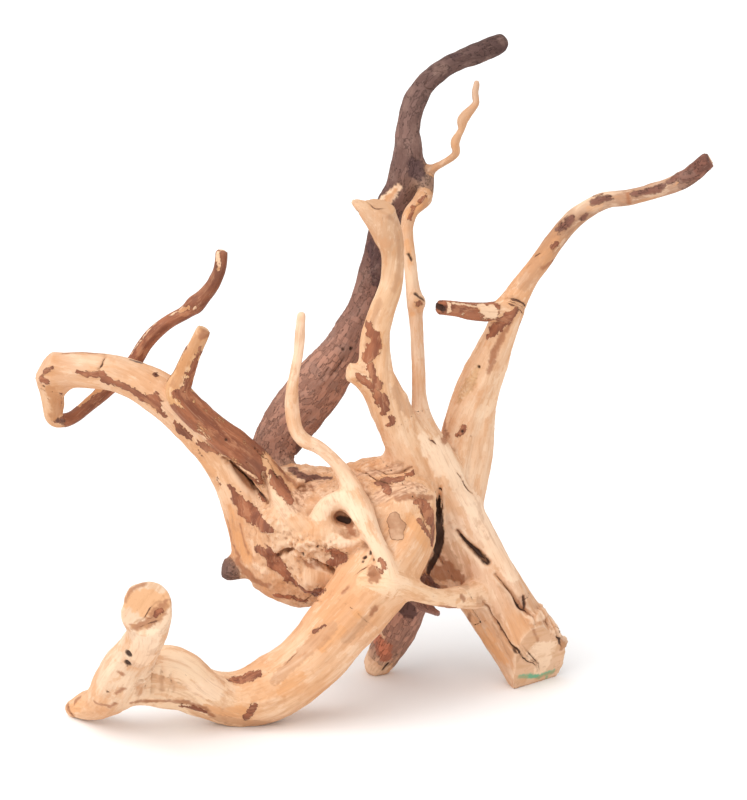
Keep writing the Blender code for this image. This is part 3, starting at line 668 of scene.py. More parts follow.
patch(
    "bare",
    ((-120, -5, 203, 3), (-116, -5, 212, 3.6), (-111, -5, 222, 3.3), (-106, -6, 231, 3),
     (-102, -5, 236, 2.4)),
    ((-195, 16, 194, 4.2), (-191, 28, 178, 4.8), (-194, 27, 175, 4.2)),
    ((-181, 48, 178, 2.4), (-175, 51, 183, 2.7), (-170, 51, 186, 2.4)),
    ((-121, 58, 233, 1.4), (-115, 54, 236, 1.4)),
    ((-96, 51, 261, 1.2),),
)
patch("umber", ((-193, 30, 172, 1.6), (-190, 36, 170, 1.3)))
crack(1.0, 0.6, (-162, 20, 214), (-164, 15, 211), (-166, 14, 208), (-165, 14, 205))
crack(0.6, 0.6, (-78, -1, 154), (-75, 0, 149), (-73, 2, 142))
saw_cut((-93, 53, 271), (0.1, -0.2, 1), reach=14)
fork("left_limb", (-87, 16, 151), (-0.5, -0.07, 0.85), of=("left_limb", "thorn"))
saw_cut((-101.5, -3, 236), (0.5, -0.25, 0.85), reach=8)
fork("thorn", (-117, 1.5, 200), (0.15, -0.1, 1), slot="red_bark")
fork("hook_twig", (-196, 33, 187), (0.35, 0.85, -0.39), slot="red_bark")

# The dark branch rises behind the crown and still has its fibrous grey-brown bark. A thin pale
# twig zigzags off it.
grow(
    "dark_branch",
    ((-48, 28, 114, 13), (-57, 38, 126, 12.5), (-64, 48, 137, 12.5), (-64, 55, 148, 13.5),
     (-57, 60, 159, 15), (-48, 65, 171, 16), (-35, 71, 188, 15.4), (-20, 77, 208, 12.6),
     (-10, 81, 228, 9.5), (-4, 83, 248, 8.5), (1, 84, 269, 8), (6, 83, 287, 9), (14, 81, 303, 9.5),
     (18, 79, 322, 9), (18, 79, 340, 7), (21, 81, 355, 6.5), (28, 85, 367, 6), (39, 89, 376, 5.5),
     (52, 93, 382, 5.5), (64, 97, 386, 6), (73, 99, 390, 5.5)),
    colour=((0, (0.34, 0.18, 0.13)), (0.3, (0.46, 0.235, 0.165)), (0.45, (0.27, 0.135, 0.10)),
            (0.6, (0.13, 0.062, 0.052)), (0.75, (0.24, 0.135, 0.11)), (0.88, (0.15, 0.085, 0.072)),
            (1, (0.10, 0.055, 0.048))),
    laid=(3, 0.28, 0.78, 200),
    char=((0, 1), (0.1, 6), (1, 6)),
)
grow(
    "dark_twig",
    ((18, 78, 309, 3.2), (25, 76, 313, 2.4), (33, 73, 318, 2.1), (41, 70, 323, 2.1), (46.5, 68, 328, 2.4),
     (46, 67, 335, 2.9), (49.5, 68, 342, 2), (50.5, 69, 348, 3.4), (54.5, 71, 353, 2.7),
     (58.5, 73, 357.5, 2.2), (58, 75, 363, 2.1), (59, 77, 369, 1.9)),
    colour=((0, (0.44, 0.23, 0.13)), (0.5, (0.54, 0.32, 0.19)), (1, (0.56, 0.35, 0.23))),
)
grow(
    "dark_spur",
    ((22, 80, 316, 5), (27, 74, 312, 5), (29, 69, 306, 4), (28, 65, 301, 3.4)),
    colour=((0, (0.18, 0.11, 0.09)), (0.6, (0.28, 0.17, 0.12)), (1, (0.48, 0.28, 0.16))),
    char=((0, 5), (0.6, 4), (0.9, 1), (1, -1)),
)
swell((6, 78, 297), 5)
patch("pale", ((12, 71, 307, 1.8), (8, 72, 303, 3.6), (5, 72, 300, 3.9), (2, 74, 299, 2.4)))
patch("bare", ((10, 72, 304, 1.4), (6, 72, 300, 2.7), (4, 72, 298, 1.8)))
patch(
    "grey",
    ((21, 71, 322, 3.6), (24, 70, 316, 4.8)),
    ((45, 88, 383, 1.8), (48, 88, 384, 1.8)),
    ((-4, 78, 269, 3.6), (-1, 75, 258, 4.2), (-1, 76, 248, 4.2)),
    ((-48, 50, 149, 3.6),),
)
patch(
    "dark",
    ((-17, 65, 208, 1.2),),
    ((-22, 63, 208, 1),),
)
crack(0.8, 0.8, (-21, 62, 203), (-24, 61, 198), (-29, 59, 193))
crack(0.6, 0.6, (-29, 59, 200), (-32, 57, 195), (-37, 55, 189))
crack(0.6, 0.6, (31, 81, 373), (28, 78, 367), (34, 82, 364))
fork(
    "dark_branch",
    (-60, 57, 151),
    (0.4, 0.4, 0.82),
    of=("dark_branch", "dark_twig", "dark_spur"),
    slot="dark_bark",
)
fork("dark_twig", (29, 72.5, 315.5), (0.78, -0.35, 0.5))

# Three branches rise from the head of the trunk: the stout centre branch with its flared, forked
# tip and a cut knob, the straight slender branch beside it, and the long right branch, which
# thins out to the right and carries a short broken peg.
grow(
    "centre_branch",
    ((31, 33, 136, 13), (21, 26, 153, 14), (11, 19, 172, 12), (3, 13, 192, 11), (-1, 10, 208, 9.5),
     (-2, 9, 226, 8.5), (1, 9, 242, 7.5), (7, 9, 260, 6.3), (8, 9, 278, 6.3), (6, 8, 290, 7.4),
     (3, 7, 300, 7.6), (1, 6, 312, 6.5)),
    colour=((0, (0.78, 0.49, 0.30)), (0.45, (0.76, 0.46, 0.27)), (0.7, (0.68, 0.41, 0.235)),
            (0.85, (0.60, 0.35, 0.20)), (1, (0.58, 0.33, 0.19))),
    laid=(3, 0.30, 0.76, 200),
)
grow(
    "slender_branch",
    ((38, 34, 136, 12), (32, 31, 152, 11), (28, 31, 165, 8), (25, 33, 181, 5), (24, 37, 202, 4),
     (23, 43, 225, 4), (21, 49, 245, 4), (19, 55, 265, 3.7), (17, 60, 281, 3.8), (19, 62, 292, 4),
     (24, 63, 298, 4), (26, 64, 301, 3.6)),
    colour=((0, (0.76, 0.49, 0.30)), (0.3, (0.74, 0.50, 0.34)), (0.8, (0.72, 0.46, 0.29)),
            (1, (0.54, 0.28, 0.15))),
)
grow(
    "right_branch",
    ((60, 42, 78, 12), (53, 45, 92, 13.5), (49, 49, 109, 14.5), (50, 53, 126, 15.5), (52, 55, 143, 16.5),
     (56, 57, 168, 14.5), (64, 57, 193, 12), (73, 55, 217, 9.5), (80, 53, 236, 8), (87, 51, 250, 6.2),
     (97, 49, 265, 5.5), (106, 47, 279, 5), (117, 45, 293, 5), (133, 41, 304, 4.5), (148, 37, 307, 4),
     (164, 33, 312, 4), (179, 29, 319, 4.5), (193, 25, 331, 4.5)),
    colour=((0, (0.74, 0.48, 0.31)), (0.48, (0.74, 0.45, 0.27)), (0.6, (0.56, 0.31, 0.18)),
            (0.66, (0.38, 0.20, 0.115)), (0.9, (0.44, 0.25, 0.16)), (1, (0.27, 0.115, 0.08))),
    char=((0, -9), (0.88, -8), (0.95, 3), (1, 4)),
    laid=(3, 0.26, 0.80, 160),
    bark=((0, -6), (0.55, -5), (0.62, -2), (0.9, -2), (1, -3)),
)
grow(
    "side_peg",
    ((75, 49, 235, 6), (64, 43, 236, 5.2), (55, 37, 238, 4.7), (46, 30, 241, 4.3), (33, 22, 244, 4.1)),
    colour=((0, (0.64, 0.37, 0.21)), (1, (0.60, 0.34, 0.20))),
    bark=((0, -3), (0.3, 1), (0.7, 3), (1, 1)),
)
grow(
    "flare",
    ((3, 8, 290, 5), (-2, 6, 299, 5), (-8, 4, 306, 4.2), (-13, 3, 312, 3.6)),
    colour=((0, (0.62, 0.36, 0.21)), (1, (0.72, 0.46, 0.29))),
)
grow(
    "cut_knob",
    ((-4, 9, 199, 6), (-10, 6, 204, 5.4), (-16, 4, 208, 5.2), (-22, 3, 210, 5.2)),
    colour=((0, (0.72, 0.42, 0.24)), (1, (0.80, 0.54, 0.34))),
)
grow(
    "splinter",
    ((17, 13, 179, 3), (16, 12, 186, 1.8), (15, 11, 192, 1.1)),
    colour=((0, (0.70, 0.42, 0.25)), (1, (0.60, 0.33, 0.18))),
)
swell((24, 44, 242), 3.8)
saw_cut((2, 5, 307.5), (0.25, -0.35, 0.9), reach=17)
saw_cut((-18.5, 4, 208), (-0.94, -0.25, 0.22), reach=13)
saw_cut((193.5, 25, 331.5), (0.8, -0.3, 0.52), reach=14)
saw_cut((35.5, 23, 244), (-0.9, -0.42, 0.1), reach=9)
hollow((35.5, 22, 244), (0.5, -1, 0), 2.4, 2, 3, facing=(-1, -0.3, 0.1))
patch(
    "tan",
    ((9, 1, 296, 1.2), (12, 4, 282, 1.8), (12, 4, 269, 1.8), (9, 3, 259, 1.8)),
    ((-3, 3, 308, 1.2), (4, -1, 304, 1.5), (11, 4, 297, 1.5)),
    ((0, 3, 252, 1.8), (-4, 2, 237, 2.4), (-7, 2, 225, 2.4)),
    ((10, 5, 197, 3.6), (18, 9, 184, 4.2)),
    ((81, 45, 243, 2.4), (88, 50, 236, 2.4)),
    ((94, 44, 267, 3), (90, 44, 258, 4.2), (87, 44, 252, 3.6)),
    ((106, 43, 287, 3), (100, 46, 279, 3), (94, 47, 272, 3)),
)
patch(
    "red",
    ((-7, 4, 238, 1.8), (-4, 1, 232, 3.6), (-1, 0, 230, 3.3), (-4, 0, 222, 4.5), (-7, 2, 218, 3.6)),
    ((-5, 1, 213, 2.1), (-3, 0, 207, 2.4), (0, -1, 201, 2.7)),
    ((-12, -1, 208, 2.1), (-8, 0, 204, 2.4), (-4, 0, 201, 2.4)),
    ((-2, 0, 198, 2.4), (2, 1, 192, 3.6), (4, 2, 187, 2.7), (2, 3, 184, 1.8)),
    ((7, 3, 181, 1.5), (8, 4, 178, 1.8), (6, 5, 176, 1.2)),
    ((2, 0, 203, 1.1),),
    ((21, 59, 297, 1.1), (19, 58, 290, 1.1)),
    ((25, 59, 301, 1.4), (28, 60, 303, 1.2)),
    ((24, 40, 242, 1.8),),
    ((82, 44, 236, 2.4), (77, 42, 232, 4.2), (72, 45, 227, 3.9), (66, 49, 219, 1.8)),
    ((52, 41, 165, 1.4), (51, 40, 162, 1.8), (48, 41, 160, 1.3)),
    ((104, 42, 276, 1.4), (106, 42, 278, 1.4)),
)
patch(
    "orange",
    ((-14, -1, 205, 2.4), (-12, 1, 202, 2.4)),
    ((1, 0, 226, 2.1), (1, 0, 232, 1.8)),
    ((19, 58, 293, 3), (24, 58, 297, 3)),
    ((17, 55, 276, 1.8), (19, 51, 265, 1.8)),
    ((20, 42, 235, 1.6),),
    ((55, 32, 241, 1), (60, 35, 239, 1.2)),
)
patch(
    "brown",
    ((-2, 0, 229, 1.5), (0, 0, 226, 1.5)),
    ((86, 51, 228, 1.2), (84, 54, 219, 1.2)),
    ((81, 44, 232, 1.2), (76, 45, 223, 2), (70, 45, 211, 2.2), (67, 44, 198, 1.6)),
    ((41, 58, 169, 1.8), (40, 50, 159, 3), (39, 27, 160, 3)),
    ((104, 46, 266, 2), (99, 43, 263, 1.6)),
    ((147, 33, 310, 1.1), (148, 33, 304, 1.1)),
)
patch(
    "dark",
    ((18, 53, 269, 1.1), (20, 51, 266, 0.9)),
    ((22, 44, 247, 0.8), (25, 42, 245, 1), (28, 42, 243, 0.6)),
    ((35, 25, 244, 1.9), (38, 22, 243, 1.8)),
    ((61, 47, 201, 0.9),),
    ((51, 41, 162, 1),),
)
patch(
    "pale",
    ((41, 24, 246, 1.2), (42, 23, 243, 1.3), (41, 23, 240, 1.2)),
    ((50, 28, 238, 1.1),),
    ((44, 26, 245, 1), (51, 30, 244, 0.8), (58, 35, 241, 1)),
    ((62, 37, 239, 3.3), (68, 39, 237, 4.2)),
    ((194, 28, 332, 1.2), (196, 27, 329, 1.2)),
)
patch("scar", ((59, 47, 199, 2.4), (55, 47, 190, 3.9), (50, 48, 181, 2.7)))
patch(
    "umber",
    ((107, 42, 287, 2), (112, 40, 291, 3.2), (115, 40, 294, 2)),
    ((121, 39, 293, 2), (123, 38, 295, 2)),
    ((127, 38, 304, 2), (131, 36, 306, 2.4), (137, 35, 307, 1.6)),
    ((150, 32, 310, 1.4), (157, 30, 312, 1.9)),
    ((159, 29, 312, 1.8), (163, 28, 314, 2.8), (167, 27, 316, 2.4)),
    ((170, 27, 318, 1.9), (175, 26, 322, 2.4)),
    ((181, 23, 324, 5.4), (188, 21, 329, 5.4), (190, 20, 331, 5.4)),
)
crack(1.0, 0.6, (76, 47, 244), (83, 44, 243), (89, 50, 238), (88, 53, 235))
crack(0.6, 0.5, (78, 45, 241), (84, 44, 238), (88, 50, 233))
crack(0.5, 0.4, (93, 46, 269), (97, 44, 272))
crack(0.5, 0.4, (88, 47, 262), (91, 46, 265))
crack(0.7, 0.5, (-7, 6, 310), (-2, 1, 307), (4, 4, 307))
crack(0.5, 0.5, (18, 58, 291), (20, 58, 296), (25, 58, 299))
fork(
    "centre_branch",
    (8, 17, 177),
    (-0.4, -0.3, 0.9),
    of=("centre_branch", "flare", "cut_knob", "splinter"),
)
fork("slender_branch", (25, 33, 178), (-0.15, 0.1, 1))
fork("right_branch", (54, 56, 158), (0.12, 0.08, 1), of=("right_branch", "side_peg"))
fork("side_peg", (64.5, 41.5, 237), (-0.78, -0.58, 0.16), slot="red_bark")

# The eye twig is a thin pale root that runs up over the front of the crown, past the swirl eye,
# and stands free above it.
grow(
    "eye_twig",
    ((7, -35, 89, 4), (5, -31, 98, 4), (1, -26, 108, 4.3), (-5, -20, 119, 5.2), (-12, -9, 132, 6),
     (-19, -1, 145, 5.4), (-25, 0, 154, 4), (-31, 0, 160, 3.8), (-37, 0, 164.5, 4), (-44, 0, 168, 4.3),
     (-49, 0, 175, 4.3), (-51, 0, 186, 4.3), (-51, -1, 199, 3.7), (-49, -2, 211, 2.9),
     (-47, -3, 222, 2.8), (-46, -4, 233, 2.9), (-45, -6, 245, 2.5)),
    colour=((0, (0.84, 0.59, 0.40)), (1, (0.90, 0.62, 0.43))),
)
fork("eye_twig", (-38, 0, 164.5), (-0.7, 0, 0.7))
fork("trunk_head", (22, 33, 110), (0.75, 0.25, 0.45), of=("trunk",), slot="burl_wood")


# The surface of all the wood, worked out at once because it is one growth: the holes are carved,
# the skin is laid over the solid, and its relief of grain, burl, bark and cracks is raised on it.
CARVE_SOFT = 0.7
CARVE_REACH = 6


def carve(field):
    """Take hollows, saw cuts and the floor off a field: the greater of it and minus the cutter."""
    for at, along, length, width, depth, facing in hollows:
        at = np.array(at, float) + STANDS_AT
        along = unit(along)
        out = np.array(facing, float)
        out = unit(out - along * (out @ along))
        third = np.cross(out, along)
        reach = max(length, width, depth) + CARVE_REACH
        block, (x, y, z) = block_round(at - reach, at + reach)
        x, y, z = x - at[0], y - at[1], z - at[2]
        far = 0
        for way, size in ((along, length), (third, width), (out, depth)):
            far = far + ((x * way[0] + y * way[1] + z * way[2]) / size) ** 2
        far = (np.sqrt(far) - 1) * min(length, width, depth)
        field[block] = CARVE_SOFT * np.logaddexp(field[block] / CARVE_SOFT, -far / CARVE_SOFT)
    for at, facing, reach in saw_cuts:
        at = np.array(at, float) + STANDS_AT
        facing = unit(facing)
        block, (x, y, z) = block_round(at - reach, at + reach)
        plane = (x - at[0]) * facing[0] + (y - at[1]) * facing[1] + (z - at[2]) * facing[2]
        field[block] = np.maximum(field[block], plane)
    z = CORNER[2] + CELL * np.arange(COUNT[2])
    return np.maximum(field, -z[None, None, :])


def skin_of(field):
    """Quads over the field's zero: a point in each cell that it crosses, a face over each edge."""
    inside = field < 0
    strides = np.array((COUNT[1] * COUNT[2], COUNT[2], 1))
    crossings, cells = [], []
    for axis in range(3):
        first = [slice(None)] * 3
        second = [slice(None)] * 3
        first[axis] = slice(None, -1)
        second[axis] = slice(1, None)
        index = np.argwhere(inside[tuple(first)] != inside[tuple(second)])
        here = field[tuple(index.T)]
        other = index.copy()
        other[:, axis] += 1
        there = field[tuple(other.T)]
        place = index.astype(float)
        place[:, axis] += here / (here - there)
        crossings.append(place)
        b, c = strides[(axis + 1) % 3], strides[(axis + 2) % 3]
        round_edge = np.array((0, -b, -b - c, -c))
        corner = (index @ strides)[:, None] + round_edge
        cells.append(np.where((here < 0)[:, None], corner, corner[:, ::-1]))
    cells = np.vstack(cells)
    places = np.repeat(np.vstack(crossings), 4, axis=0)
    _, corner = np.unique(cells.ravel(), return_inverse=True)
    count = np.bincount(corner)
    points = np.stack([np.bincount(corner, places[:, i]) / count for i in range(3)], axis=1)
    return CORNER + CELL * points, corner.reshape(-1, 4)


def make_mesh(name, points, quads):
    """A mesh of millimetre points and four-cornered faces."""
    mesh = bpy.data.meshes.new(name)
    mesh.vertices.add(len(points))
    mesh.vertices.foreach_set("co", (points * MM).astype(np.float32).ravel())
    mesh.loops.add(quads.size)
    mesh.loops.foreach_set("vertex_index", quads.astype(np.int32).ravel())
    mesh.polygons.add(len(quads))
    mesh.polygons.foreach_set("loop_start", np.arange(0, quads.size, 4, dtype=np.int32))
    mesh.update(calc_edges=True)
    return mesh


def refine(points, quads):
    """Each face in four, by one level of Blender's subdivision surface."""
    rough = bpy.data.objects.new("rough", make_mesh("rough", points, quads))
    bpy.context.scene.collection.objects.link(rough)
    finer = rough.modifiers.new("finer", "SUBSURF")
    finer.levels = 1
    finer.render_levels = 1
    graph = bpy.context.evaluated_depsgraph_get()
    mesh = rough.evaluated_get(graph).to_mesh()
    points = np.empty(len(mesh.vertices) * 3, np.float32)
    mesh.vertices.foreach_get("co", points)
    quads = np.empty(len(mesh.loops), np.int32)
    mesh.loops.foreach_get("vertex_index", quads)
    bpy.data.objects.remove(rough)
    return points.reshape(-1, 3).astype(float) / MM, quads.reshape(-1, 4)


def value_at(field, points):
    """The field between its grid points: the eight corners of the cell, each by its nearness."""
    where = (points - CORNER) / CELL
    low = np.floor(where).astype(int)
    part = where - low
    total = 0
    for corner in itertools.product((0, 1), repeat=3):
        share = np.prod(np.where(corner, part, 1 - part), axis=1)
        total = total + share * field[tuple((low + corner).T)]
    return total


def settle_on(field, points, times=2, step=0.8, share=0.8):
    """Move points onto the field's zero: along its slope, by a share of its value over the slope."""
    for _ in range(times):
        rises = [
            value_at(field, points + step * way) - value_at(field, points - step * way)
            for way in np.eye(3)
        ]
        slope = np.stack(rises, axis=1) / (2 * step)
        steep = np.maximum((slope**2).sum(1), 0.25)
        points = points - share * (value_at(field, points) / steep)[:, None] * slope
    return points


def normals_of(points, quads):
    """Directions out of the skin: the crossed diagonals of the faces round each point, summed."""
    a, b, c, d = (points[quads[:, i]] for i in range(4))
    face = np.cross(c - a, d - b)
    total = np.stack(
        [np.bincount(quads.ravel(), np.repeat(face[:, i], 4), len(points)) for i in range(3)], axis=1
    )
    return total / np.maximum(np.linalg.norm(total, axis=1, keepdims=True), 1e-9)


def noise(points, length, seed=0):
    """Smooth heights of about -1 to 1: a random slope at each corner of a cell, blended by quintics.

    Length is the size of a cell in millimetres, and each layer of noise has a seed of its own.
    """
    chance = np.random.default_rng(seed)
    order = chance.permutation(256)
    slopes = chance.normal(size=(256, 3))
    slopes /= np.linalg.norm(slopes, axis=1, keepdims=True)
    where = points / np.array(length, float)
    low = np.floor(where).astype(int)
    part = where - low
    ease = part**3 * (part * (part * 6 - 15) + 10)
    total = 0
    for corner in itertools.product((0, 1), repeat=3):
        x, y, z = ((low + corner) & 255).T
        slope = slopes[order[(order[(order[x] + y) & 255] + z) & 255]]
        share = np.prod(np.where(corner, ease, 1 - ease), axis=1)
        total = total + share * ((part - corner) * slope).sum(1)
    return 1.6 * total


NEARNESS = 2.5
OUT_OF_REACH = 99.0


def along_limb(points, limb):
    """How near points are to a limb, how far along it, and how far across it in two ways."""
    line, sides, ups = limb["line"], limb["sides"], limb["ups"]
    nearest = np.full(len(points), OUT_OF_REACH)
    place = np.zeros((len(points), 3))
    run = 0.0
    for i in range(len(line) - 1):
        way = line[i + 1, :3] - line[i, :3]
        length = np.linalg.norm(way)
        away = points - line[i, :3]
        t = np.clip(away @ way / length**2, 0, 1)
        away -= t[:, None] * way
        far = np.linalg.norm(away, axis=1) - line[i, 3] - t * (line[i + 1, 3] - line[i, 3])
        near = far < nearest
        nearest[near] = far[near]
        for column, turned in enumerate((sides, ups)):
            turned = turned[i] + t[near, None] * (turned[i + 1] - turned[i])
            place[near, column] = (away[near] * turned).sum(1)
        place[near, 2] = run + t[near] * length
        run += length
    return nearest, place, run


def points_near(low, high, reach):
    """The numbers of the points in a box and up to a reach outside it."""
    return np.nonzero(((points > low - reach) & (points < high + reach)).all(1))[0]


def eased(value, low, high):
    """From 0 at low to 1 at high, by the cubic 3t squared less 2t cubed."""
    t = np.clip((value - low) / (high - low), 0, 1)
    return t * t * (3 - 2 * t)


def nearness(far):
    """A share that falls off with distance: its negative exponential over NEARNESS."""
    return np.exp(-np.clip(far, -6, 30) / NEARNESS)


field = carve(-FUSE * np.log(solid_sum + 1e-9))
points, quads = refine(*skin_of(field))
points = settle_on(field, points)
normals = normals_of(points, quads)
total = len(points)

# Each limb gives the skin its own grain and bark, and near a fork the limbs share it by nearness.
# Height is what the relief adds along the normals, in millimetres. Tint is the bare wood's colour.
# A face's owner is its nearest limb, and grain is the face's place along and across that limb.
LIMB_REACH = 10
BURL = len(limbs)
BURL_RADIUS = 20
BURL_UNEVEN = 14
weight, height, strings, broad, bark, char, travel = np.zeros((7, total))
tint = np.zeros((total, 3))
best = np.full(total, OUT_OF_REACH)
owner = np.full(total, BURL)
grain = np.zeros((len(quads), 4, 3))
places = []
for number, limb in enumerate(limbs.values()):
    line = limb["line"]
    chosen = points_near(line[:, :3].min(0), line[:, :3].max(0), line[:, 3].max() + LIMB_REACH)
    far, place, length = along_limb(points[chosen], limb)
    part = place[:, 2] / length
    thick = np.interp(part, np.linspace(0, 1, len(line)), line[:, 3])

    # Slow swells, flutes along the grain, fine strings and small uneven bumps.
    slow = place / np.stack([thick, thick, 6 * thick], axis=1)
    rise = 0.085 * thick * noise(slow, (0.75, 0.75, 1), number)
    fluted = 0.35 - np.abs(noise(place, (8, 8, 34), number + 40))
    rise += 1.2 * np.minimum(thick / 14, 1) * fluted
    string = noise(place, (2.4, 2.4, 15), number + 60)
    rise += 0.13 * string
    rise += 0.30 * np.minimum(thick / 10, 1) * noise(points[chosen], 7.0, number + 80)

    # Where bark is left, with uneven edges. The grey bark is rough.
    red_here = np.interp(part, *zip(*limb["bark"])) + 3.0 * noise(place, (9, 9, 16), number + 20)
    grey_here = np.interp(part, *zip(*limb["char"])) + 2.0 * noise(place, (6, 6, 16), number + 30)
    rise += eased(grey_here, -1, 1) * (0.5 * noise(place, (3.2, 3.2, 7), number + 50))

    near = nearness(far)
    weight[chosen] += near
    height[chosen] += near * rise
    strings[chosen] += near * string
    broad[chosen] += near * thick
    bark[chosen] += near * red_here
    char[chosen] += near * grey_here
    stops, colours = zip(*limb["colour"])
    for i in range(3):
        tint[chosen, i] += near * np.interp(part, stops, np.array(colours)[:, i])
    closer = far < best[chosen]
    best[chosen[closer]] = far[closer]
    owner[chosen[closer]] = number
    travel[chosen[closer]] = place[closer, 2]
    places.append((chosen, place))

# The burl has its share as well, and is bare of bark but for its marks.
far = np.min([np.linalg.norm(points - at, axis=1) - radius for at, radius in lumps], axis=0)
near = nearness(far)
owner[far < best] = BURL
bark += near * (-4 + 3.0 * noise(points, BURL_UNEVEN, 105))
char -= near * 9
tint += near[:, None] * np.array(BURL_COLOUR)
weight += near
broad += near * BURL_RADIUS
gnarled = near / weight
for worn in (height, strings, broad, bark, char, tint.T):
    worn /= weight
face_owner = owner[quads[:, 0]]
for number, (chosen, place) in enumerate(places):
    spread = np.zeros((total, 3))
    spread[chosen] = place
    mine = face_owner == number
    grain[mine] = spread[quads[mine]]
grain[face_owner == BURL] = points[quads[face_owner == BURL]]

# The marks that sandblasting left are strips with torn edges, each on its own stretch of skin: the
# half width less the distance to the strip's line, plus noise. Above 0 a point is inside the mark.
NO_MARK = -9.0
MARK_REACH = 4
FIRM_EDGED = ("dark", "scab")
marks = {kind: np.full(total, NO_MARK) for kind in dict.fromkeys(kind for kind, *_ in patches)}
torn = 0.6 * noise(points, 6.5, 201) + 0.9 * noise(points, 3.0, 202) + 0.8 * noise(points, 1.7, 203)
for kind, line, through, strands in patches:
    line = np.array(line, float)
    line[:, :3] += STANDS_AT
    reach = max(line[:, 3].max() + MARK_REACH, through)
    chosen = points_near(line[:, :3].min(0), line[:, :3].max(0), reach)
    inside = np.full(len(chosen), NO_MARK)
    for start, end in itertools.pairwise(np.vstack([line, line[-1] + (0, 0, 0.01, 0)])):
        way = end[:3] - start[:3]
        away = points[chosen] - start[:3]
        t = np.clip(away @ way / (way @ way), 0, 1)
        away -= t[:, None] * way
        above = (away * normals[chosen]).sum(1)
        aside = np.maximum((away**2).sum(1) - above**2, 0)
        width = start[3] + t * (end[3] - start[3])
        above *= width / np.maximum(width, through)
        inside = np.maximum(inside, width - np.sqrt(aside + above**2))
    loose = 0.1 if kind in FIRM_EDGED else 0.35
    inside += torn[chosen] * min(loose * line[:, 3].max() + 0.15, 1.6)
    marks[kind][chosen] = np.maximum(marks[kind][chosen], inside)
    if strands:
        within = np.zeros(total, bool)
        within[chosen[inside > -2]] = True
        mine = within[quads[:, 0]]
        along = unit(strands)
        side = unit(np.cross(along, (0.3, 1, 0.1)))
        grain[mine] = points[quads[mine]] @ np.stack([side, np.cross(along, side), along], axis=1)
bark = np.maximum(bark, marks["red"])
bark = np.minimum(bark, -np.max([marks["pale"], marks["scar"], marks["bare"]], axis=0))
char = np.maximum(char, marks["grey"])
char = np.minimum(char, -np.maximum(marks["pale"], marks["red"]))
char = np.maximum(char, marks["umber"])

# The kinds that stain the wood are laid over its tint in this order, each with its own strength.
# A few brown strips, in the hollow by the trunk and below the matted fibres, are painted shade in part.
# The share is how much of a point's colour has come from them.
STAINS = (
    ("cream", (0.93, 0.68, 0.48), 0.72),
    ("pale", (0.84, 0.57, 0.38), 0.9),
    ("orange", (0.70, 0.33, 0.135), 0.7),
    ("bare", (0.52, 0.235, 0.10), 0.85),
    ("tan", (0.50, 0.26, 0.14), 0.65),
    ("brown", (0.36, 0.145, 0.07), 0.9),
    ("rust", (0.60, 0.205, 0.115), 0.95),
    ("scar", (0.64, 0.38, 0.19), 0.75),
    ("grey", (0.085, 0.045, 0.045), 0.85),
    ("umber", (0.21, 0.088, 0.062), 0.95),
    ("green", (0.10, 0.42, 0.25), 0.95),
)
stain = np.zeros(total)
for kind, colour, strength in STAINS:
    share = strength * eased(marks[kind], -0.8, 0.8)
    tint += share[:, None] * (np.array(colour) - tint)
    stain += share * (1 - stain)

# A crack is a line drawn on the skin. Beside is the distance from it, with a sign that tells its two
# sides apart, so that it stays crisp between the points of the mesh. Gape is half its width there,
# which closes towards both ends.
CRACK_REACH = 7
FAR_BESIDE = 9.0
beside = np.full(total, FAR_BESIDE)
gape = np.full(total, NO_MARK)
sunk = np.zeros(total)
for width, depth, route in cracks:
    line = smooth_route(route) + STANDS_AT
    chosen = points_near(line.min(0), line.max(0), CRACK_REACH)
    nearest = np.full(len(chosen), float(CRACK_REACH))
    side = np.full(len(chosen), FAR_BESIDE)
    open_by = np.full(len(chosen), NO_MARK)
    for i in range(len(line) - 1):
        way = line[i + 1] - line[i]
        away = points[chosen] - line[i]
        t = np.clip(away @ way / (way @ way), 0, 1)
        away -= t[:, None] * way
        away -= (away * normals[chosen]).sum(1, keepdims=True) * normals[chosen]
        far = np.linalg.norm(away, axis=1)
        near = far < nearest
        nearest[near] = far[near]
        turn = np.cross(normals[chosen[near]], way)
        side[near] = far[near] * np.sign((away[near] * turn).sum(1))
        middle = abs(2 * (i + t[near]) / (len(line) - 1) - 1)
        open_by[near] = 0.5 * width * (1 - middle**3) - 0.25 * middle**8
    better = open_by - nearest > gape[chosen] - abs(beside[chosen])
    beside[chosen[better]] = side[better]
    gape[chosen[better]] = open_by[better]
    shoulder = eased(nearest, 0.3 * width, 0.9 * width + 0.8)
    sunk[chosen] = np.maximum(sunk[chosen], depth * (1 - shoulder))

# Saw cuts are flat, and show the end grain: their thickness less the distance to the plane.
CUT_SKIN = 0.7
sawn = np.full(total, NO_MARK)
for at, facing, reach in saw_cuts:
    away = points - np.array(at, float) - STANDS_AT
    close = (np.abs(away) < reach).all(1)
    sawn[close] = np.maximum(sawn[close], CUT_SKIN - np.abs(away[close] @ unit(facing)))

